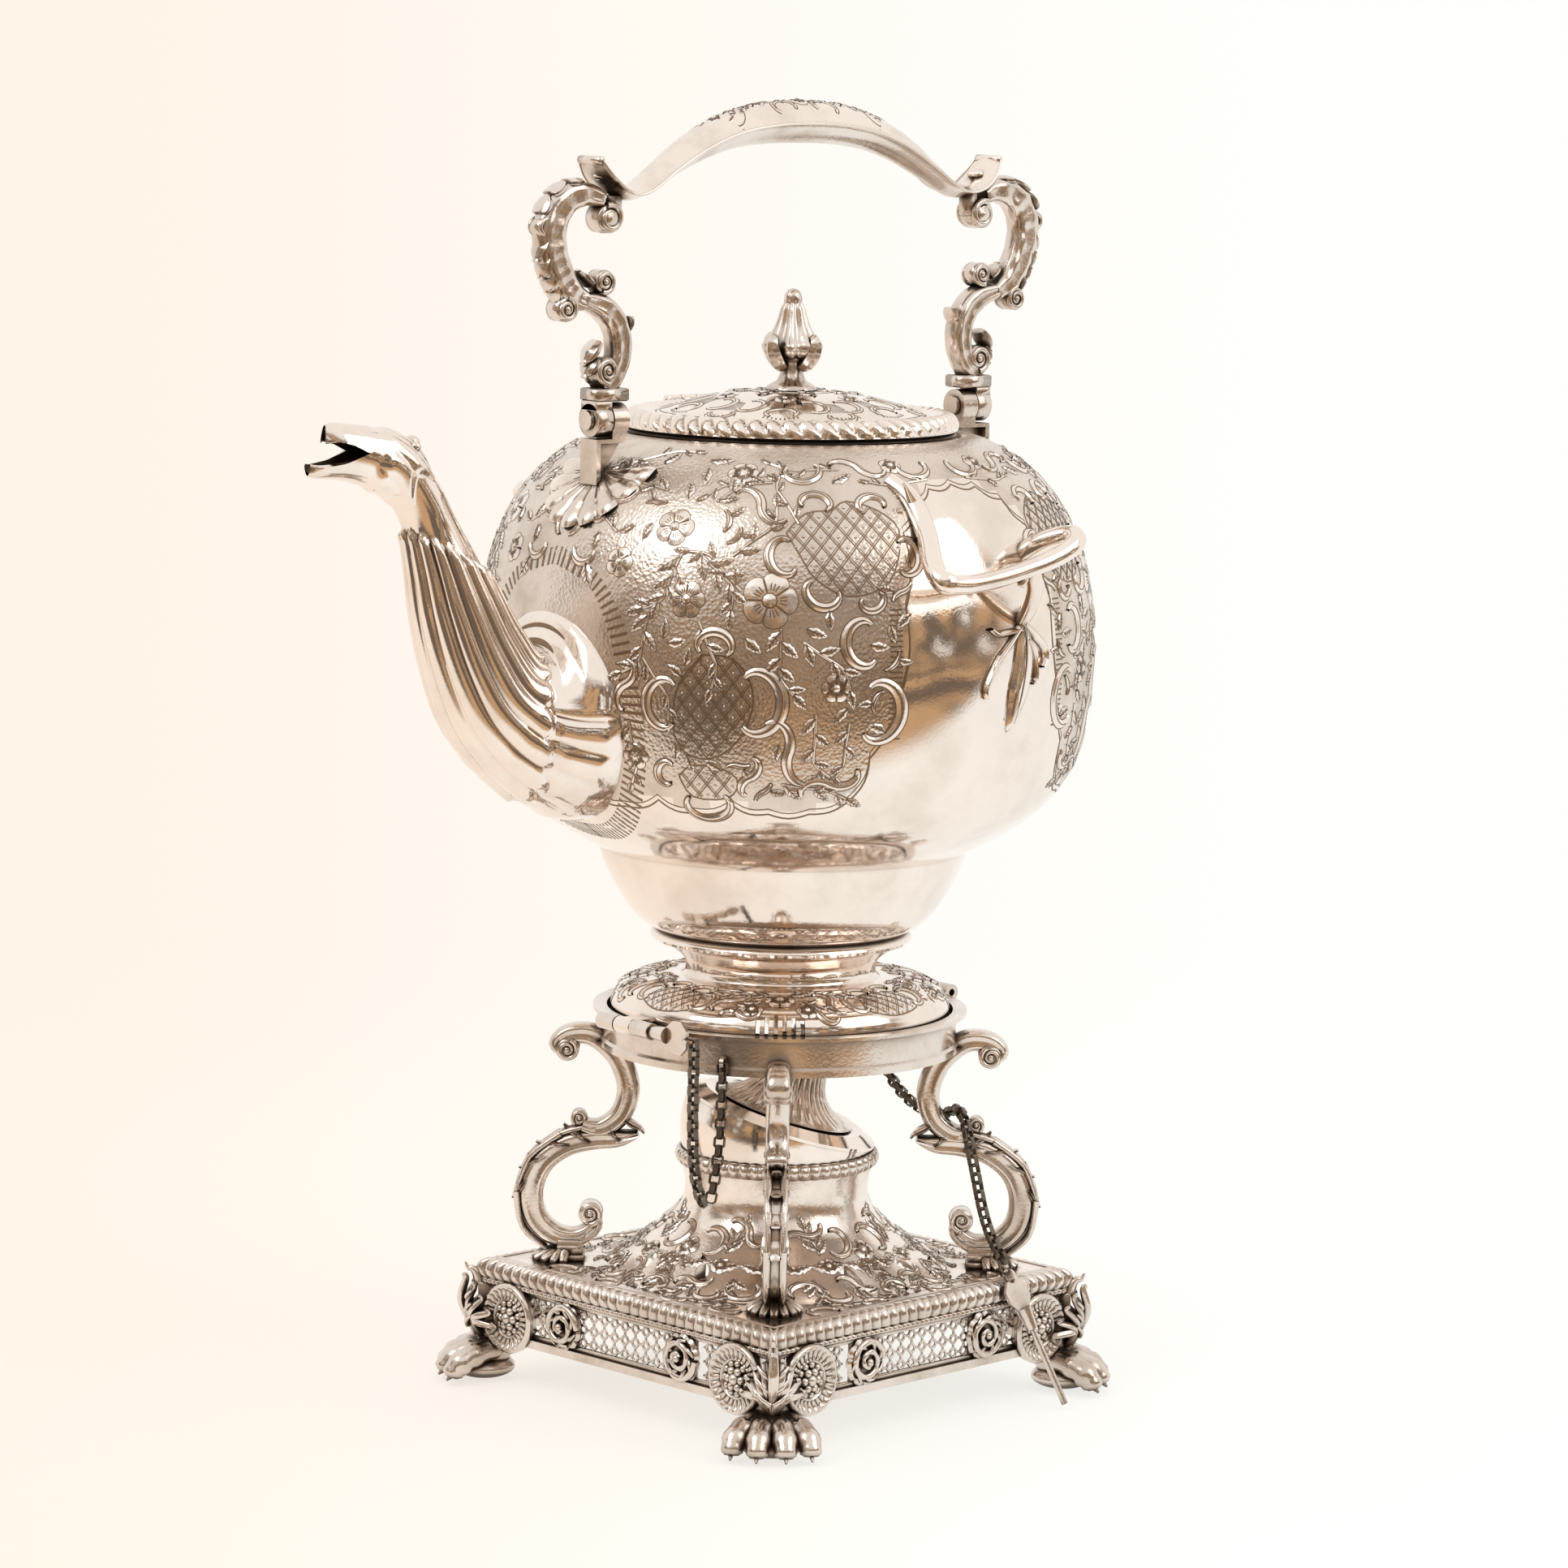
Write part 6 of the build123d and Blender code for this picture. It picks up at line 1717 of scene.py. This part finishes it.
BORDER = [
    (61.2, 37.4), (61.2, 38.7), (61.9, 39), (62.6, 38.7), (63, 38.6), (64.6, 38.6), (66.3, 37.4), (67.1, 35.4),
    (66.9, 33.4), (66.3, 32.6), (66.7, 32.2), (66.9, 31.4), (66.4, 31), (63.8, 31),
]
LOBES = 33
ROUNDELS = ((-51.4, 21.6, 11.2), (-26.6, 23.4, 8.2), (26.6, 23.4, 8.2), (51.4, 21.6, 11.2))


def side_place(angle):
    """The matrix of one side of the stand: x along it, y up, z outwards."""
    turn = radians(angle)
    out = Vector((cos(turn), sin(turn), 0))
    return Matrix((Vector((-out.y, out.x, 0)), Vector((0, 0, 1)), out)).transposed().to_4x4()


class KETTLE_OT_gallery(bpy.types.Operator):
    """Makes the gadroon border, and the pierced gallery with its roundels"""

    bl_idname = "kettle.gallery"
    bl_label = "Border and gallery"

    def execute(self, context):
        border = Form()
        for angle in SIDE_ANGLES:
            border.add(self.border_side(), side_place(angle))
        border.make("gadroon_border_cast", "stand", (cast(),), ("gadroon_border",))
        dress(cast(), "lower_rail")
        for number, angle in enumerate(SIDE_ANGLES, start=1):
            out = side_place(angle)
            side = Form().add(self.lattice(), out)
            for place, height, size in ROUNDELS:
                roundel = self.berries(size) if size > 10 else self.whorl(size, 1 if place < 0 else -1)
                side.add(roundel, out @ Matrix.Translation((place, height, 66)))
            side.make(f"gallery_{number}_pierced", "stand", (cast(),), (f"gallery_{number}",))
        return {"FINISHED"}

    def border_side(self):
        """One side of the border, mitred at both ends; the gadroons lean and lie mirrored about the middle."""
        line = smooth(BORDER, 2)
        rows = []
        steps = LOBES * 12
        for step in range(steps + 1):
            t = 2 * step / steps - 1
            row = []
            for index, (reach, height) in enumerate(line):
                share = (index - 8) / 11
                depth = 0
                if 0 < share < 1:
                    phase = LOBES / 2 * pi * (abs(t) * 66.5 + 1.6 * share) / 66.5
                    depth = 1.25 * (sin(pi * share) ** 0.5) * (1 - abs(sin(phase)) ** 0.55)
                elif index > 19:
                    depth = 0.35 * (1 - abs(sin(LOBES * pi * t)) ** 0.6)
                row.append((t * reach, height - 0.5 * depth, reach - depth))
            rows.append(row)
        return Form().skin(rows)

    def lattice(self):
        """Rows of linked rings between two rails; nothing is pierced behind the roundels."""
        form = Form()
        form.block((-65.4, 16.2, 64.3), (65.4, 17.7, 65.6), edge=0.15)
        form.block((-65.4, 29.6, 64.3), (65.4, 31, 65.6), edge=0.15)
        for place, height, size in ROUNDELS:
            form.block((place - size * 0.68, 17, 64.3), (place + size * 0.68, 30, 65.3), edge=0.15)
        for side in (-1, 1):
            low, high = sorted((side * 60, side * 65.4))
            form.block((low, 17, 64.3), (high, 30, 65.3), edge=0.15)
        pitch = 4.7
        ring = Form()
        loop = [(1.3 * cos(TURN * k / 16), 1.3 * sin(TURN * k / 16), 0) for k in range(16)]
        ring.sweep(loop, tapered(0.42), (0, 0, 1), loop=True)
        for k in range(4):
            angle = TURN * k / 4
            ring.sweep([(1.4 * cos(angle), 1.4 * sin(angle), 0), (2.4 * cos(angle), 2.4 * sin(angle), 0)],
                       tapered(0.4), (0, 0, 1))
        for row in range(3):
            for column in range(-12, 13):
                x = pitch * column
                if not any(abs(x - place) < size * 0.8 for place, _, size in ROUNDELS) and abs(x) < 60:
                    form.add(ring, Matrix.Translation((x, 19.25 + 4.4 * row, 65)))
        return form

    def berries(self, size):
        """A dished roundel with a tongue border round a cluster of berries."""
        outline = [(0.05, -1.4), *((size - inward, height) for inward, height in (
            (1.2, -1.4), (0.2, -0.4), (0, 1.6), (0.5, 2.6), (1.4, 2.7), (2, 2), (4.6, 1.5), (5, 1.9), (5.6, 1.6),
            (6.2, 0.7),
        )), (0.05, 0.5)]

        def tongues(angle, index, r, z):
            if index in (6, 7):
                z -= 0.75 * (1 - abs(sin(13 * angle)) ** 0.5)
            return r, z

        dish = Form().lathe(outline, 208, wave=tongues)
        dish.ball((0, 0, 1.6), 2, sides=12)
        for ring, count, height, big in ((2.7, 6, 1.4, 1.55), (4.7, 11, 0.8, 1.35)):
            for k in range(count):
                angle = TURN * (k + 0.5 * (count % 2)) / count
                dish.ball((ring * cos(angle), ring * sin(angle), height), big, sides=10)
        return dish

    def whorl(self, size, hand):
        """A small roundel: a leafy scroll wound round a bud."""
        outline = [(0.05, -1), (size - 1, -1), (size - 0.2, 0.4), (size - 1.2, 1.4), (size - 2.4, 0.9), (0.05, 0.7)]
        disc = Form().lathe(outline, 120, wave=lambda angle, index, r, z: (
            r - (0.9 * (1 - abs(sin(5.5 * angle)) ** 0.6) if index in (1, 2, 3) else 0), z))
        spiral = []
        for step in range(61):
            share = step / 60
            angle = hand * TURN * 1.9 * share
            reach = (size - 1.3) * (1 - 0.86 * share)
            spiral.append((reach * cos(angle), reach * sin(angle), 1.2 + 0.9 * share))
        disc.sweep(spiral, lambda index: round_section(1 + 0.3 * abs(sin(index * 0.55)) - 0.006 * index, 10),
                   (0, 0, 1))
        disc.ball((0, 0, 2.3), 1.3, sides=12)
        for k in range(7):
            angle = TURN * k / 7
            petal = [(4.2 * cos(angle), 4.2 * sin(angle), 1),
                     (5.6 * cos(angle + hand * 0.3), 5.6 * sin(angle + hand * 0.3), 1.9),
                     (6.6 * cos(angle + hand * 0.7), 6.6 * sin(angle + hand * 0.7), 1.4)]
            disc.sweep(smooth(petal, 3), tapered(0.95, 0.09), (0, 0, 1))
        return disc


# ---- corners, paws and legs

LEG_UPPER = [
    (66.6, 105.6, 4), (70, 108, 5.4), (66, 111.2, 6.6), (58.6, 111, 7.2), (51, 104.6, 7.4), (47.4, 95, 7.4),
    (49.4, 86.2, 7), (55.6, 81.4, 6.4), (61.6, 82.2, 4.6),
]
LEG_LOWER = [
    (44, 79.6, 2.2), (50, 78, 5.6), (58, 77.6, 6.8), (67, 75.4, 7.4), (74.4, 69.6, 7.8), (77.6, 61, 8),
    (76, 52.2, 7.8), (70.2, 46.8, 7.2), (62.8, 46, 6.4), (57.4, 50, 5.2), (58.4, 55.2, 4),
]
# a toe from its root to its claw: (share of its reach, share of its spread, height, radius)
TOE = [
    (0, 0, 10.2, 3.2), (0.45, 0.28, 9.2, 3.7), (0.82, 0.46, 7.6, 3.9), (1.1, 0.52, 4.4, 3.6),
    (1.18, 0.52, 2.6, 2.4),
]
# the middle, in x and z, that the long leaves swell away from
LEG_HEART = 62


class KETTLE_OT_legs(bpy.types.Operator):
    """Makes the four scroll legs on their palmettes, the corner leaves and the paw feet"""

    bl_idname = "kettle.legs"
    bl_label = "Legs, corners and paws"

    def execute(self, context):
        pieces = (("leg", self.leg(), "scroll"), ("leg_shell", self.palmette(), "palmette"),
                  ("corner_leaf", self.corner(), "acanthus"), ("foot", self.paw(), "paw"))
        for number, angle in enumerate(CORNER_ANGLES, start=1):
            for name, form, suffix in pieces:
                node = f"{name}_{number}"
                Form().add(form, spun(angle)).make(f"{node}_{suffix}", "stand", (cast(),), (node,))
        return {"FINISHED"}

    def leg(self):
        """A leg in the XZ plane: a C-scroll over a reversed one, grooved on both sides."""
        leg = Form()
        scroll_bar(leg, LEG_UPPER, 1)
        scroll_bar(leg, LEG_LOWER, 1)
        for curl in (
            (66.8, 106.6, 3.6, 8.6, 1, 1.9), (62.6, 84.6, 2.5, 6.4, 1, -0.9), (58.8, 54, 3.7, 8.8, -1, -1.6),
        ):
            volute(leg, *curl)
        leg.block((61, -4, 40.6), (69, 4, 45.4), edge=0.4)
        for x, z, turn, size in (
            (54.4, 109.8, 150, 1.1), (46.2, 82, 200, 1.1), (62.4, 79.6, 20, 1.4), (70.4, 76.8, -10, 1.4),
            (77, 71, -40, 1.3), (81.4, 62.4, -70, 1.1), (52, 80.6, 30, 1.2),
        ):
            curled_leaf(leg, x, z, turn, [(-3.4 * size, -1.6, 1.6), (0, -0.7, 2.4 * size), (2.6 * size, -0.3, 1.9),
                                          (4.2 * size, 0.8, 0.8)], 8)
        # long leaves lie along the lower scroll's back
        for side in (-1, 1):
            for start in (0, 1, 2, 3):
                spots = LEG_LOWER[start + 2:start + 5]
                across = side * (2.1 + 0.5 * (start % 2))
                ridge = [(1.3 * x - 0.3 * LEG_HEART, across, 1.3 * z - 0.3 * LEG_HEART) for x, z, _ in spots]
                leg.sweep(smooth(ridge, 4), tapered(1.15, 0.07))
        return leg

    def palmette(self):
        """The fan of ribs that the leg stands on, spread over the plate's corner."""
        fan = Form()
        for step in range(9):
            angle = radians(-84 + 21 * step)
            root = (66.5, 0, 39.4)
            reach = 11.0 - 2.0 * abs(sin(angle)) ** 2
            tip = (66 + reach * cos(angle), 0.94 * reach * sin(angle), 39.2)
            middle = ((root[0] + tip[0]) / 2, (root[1] + tip[1]) / 2, 41)
            line = smooth([root, middle, tip], 5)
            fan.sweep(line, lambda index: round_section(0.8 + 0.95 * sin(pi * (index + 1) / 12), 12), (0, 0, 1))
        fan.block((60.5, -4.6, PLATE_TOP), (70.5, 4.6, 40.8), edge=0.4)
        return fan

    def corner(self):
        """Acanthus folded round the corner of the gallery, with a thorn at its top."""
        leaf = Form()
        for across, spread, top, width, swell in (
            (0, 0, 33, 3.2, 0.6), (1.2, 1.6, 30.6, 2.6, 0.4), (1.8, 3.4, 27.4, 2.6, 0.2), (2.4, 5, 23.6, 2.4, 0),
            (2.8, 6.4, 19.6, 2.2, 0),
        ):
            for side in (-1, 1) if spread else (1,):
                stalk = smooth([
                    (94.6 - 0.75 * across, side * across * 0.6, 13.6),
                    (97.6 - 0.85 * across, side * (across + 0.25 * spread), 16.6 + 0.1 * top),
                    (98.8 - 0.95 * (across + 0.5 * spread) + swell, side * (across + 0.62 * spread), 0.5 * top + 9),
                    (97.4 - 0.98 * (across + spread) + swell, side * (across + spread), top - 1.2),
                    (98.6 - 0.98 * (across + spread) + swell, side * (across + 1.06 * spread), top),
                ], 6)
                size = len(stalk)
                leaf.sweep(stalk, lambda index: round_section(
                    width / 2 * (0.55 + 0.45 * sin(pi * min(1.15 * index / size, 1))), 14, 0.8, 3, 0.16), (1, 0, 0))
        for z in (17, 21, 25):
            for side in (-1, 1):
                leaf.sweep(smooth([(97.2, side * 0.8, z), (97.6, side * 2.8, z + 1.6), (96, side * 4.6, z + 3.6)], 4),
                           tapered(1.1, 0.08))
        horn = smooth([(93.6, 0, 30), (94.6, 0, 33.4), (96, 0, 35), (97.4, 0, 35.2), (98.3, 0, 37)], 4)
        leaf.sweep(horn, tapered(1.9, 0.095, 12), (0, 1, 0))
        leaf.block((88, -2, 16.2), (94, 2, 31), edge=0.6)
        return leaf

    def paw(self):
        """A lion's paw in the XZ plane's direction: four toes with claws, a heel and a furred ankle."""
        paw = Form()
        for across, turn, reach in ((-8.6, -15, 12), (-3, -5, 14.2), (3, 5, 14.2), (8.6, 15, 12)):
            way = Vector((cos(radians(turn)), sin(radians(turn)), 0))
            root = Vector((88, 0.45 * across, 0))
            toe = smooth([
                (*(root + way * out * reach + Vector((0, spread * across, height))), radius)
                for out, spread, height, radius in TOE
            ], 4)
            paw.sweep(toe, lambda index: round_section(toe[index][3] * (1 + 0.07 * sin(1.5 * index)), 16))
            tip = Vector(toe[-1][:3])
            paw.rod(tip + Vector((-0.6, 0, 0.8)), tip + way * 1.5 + Vector((0, 0, -1.2)), 1.2, 0.35, 10)
        paw.ball((92, 0, 3.8), 10, 0.38, sides=28)
        paw.ball((90, 0, 8.4), 6.8, 0.75, sides=20)
        ankle = smooth([(5.2, 8), (5.6, 10.6), (4.6, 12.4), (5.4, 13.6)], 3)
        fur = Form().lathe([(0.05, 8), *ankle, (0.05, 13.6)], 60,
                           wave=lambda angle, index, r, z: (r * (1 + 0.06 * sin(15 * angle)), z))
        return paw.add(fur, Matrix.Translation((88.6, 0, 0)))


class KETTLE_OT_frame(bpy.types.Operator):
    """Gives the plain parts of the frame their finishes"""

    bl_idname = "kettle.frame"
    bl_label = "Frame parts"

    def execute(self, context):
        dress(cast(), *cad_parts)
        dress(oxidised(), "rear_chain", "front_chain_pin_side", "front_chain_ring_side")
        dress(cotton(), "wick")
        return {"FINISHED"}


class KETTLE_PT_panel(bpy.types.Panel):
    """Lists the pieces of the kettle"""

    bl_idname = "KETTLE_PT_panel"
    bl_label = "Spirit kettle"
    bl_space_type = "VIEW_3D"
    bl_region_type = "UI"
    bl_category = "Kettle"

    def draw(self, context):
        for settings in (context.scene.kettle_finish, context.scene.kettle_stage):
            box = self.layout.box()
            for name in settings.bl_rna.properties.keys():
                if name not in {"rna_type", "name"}:
                    box.prop(settings, name)
        for piece in PIECES:
            self.layout.operator(piece.bl_idname)


PIECES = (
    KETTLE_OT_frame,
    KETTLE_OT_body,
    KETTLE_OT_foot,
    KETTLE_OT_lid,
    KETTLE_OT_spout,
    KETTLE_OT_side_handles,
    KETTLE_OT_bail,
    KETTLE_OT_lamp,
    KETTLE_OT_gallery,
    KETTLE_OT_legs,
    KETTLE_OT_stage,
)
CLASSES = (KettleFinish, KettleStage, *PIECES, KETTLE_PT_panel)


def register():
    for item in CLASSES:
        bpy.utils.register_class(item)
    bpy.types.Scene.kettle_finish = bpy.props.PointerProperty(type=KettleFinish)
    bpy.types.Scene.kettle_stage = bpy.props.PointerProperty(type=KettleStage)


def unregister():
    del bpy.types.Scene.kettle_stage
    del bpy.types.Scene.kettle_finish
    for item in reversed(CLASSES):
        bpy.utils.unregister_class(item)


def main():
    register()
    bpy.ops.kettle.frame()
    bpy.ops.kettle.body()
    bpy.ops.kettle.foot()
    bpy.ops.kettle.lid()
    bpy.ops.kettle.spout()
    bpy.ops.kettle.side_handles()
    bpy.ops.kettle.bail()
    bpy.ops.kettle.lamp()
    bpy.ops.kettle.gallery()
    bpy.ops.kettle.legs()
    bpy.ops.kettle.stage()


if __name__ == "__main__":
    main()
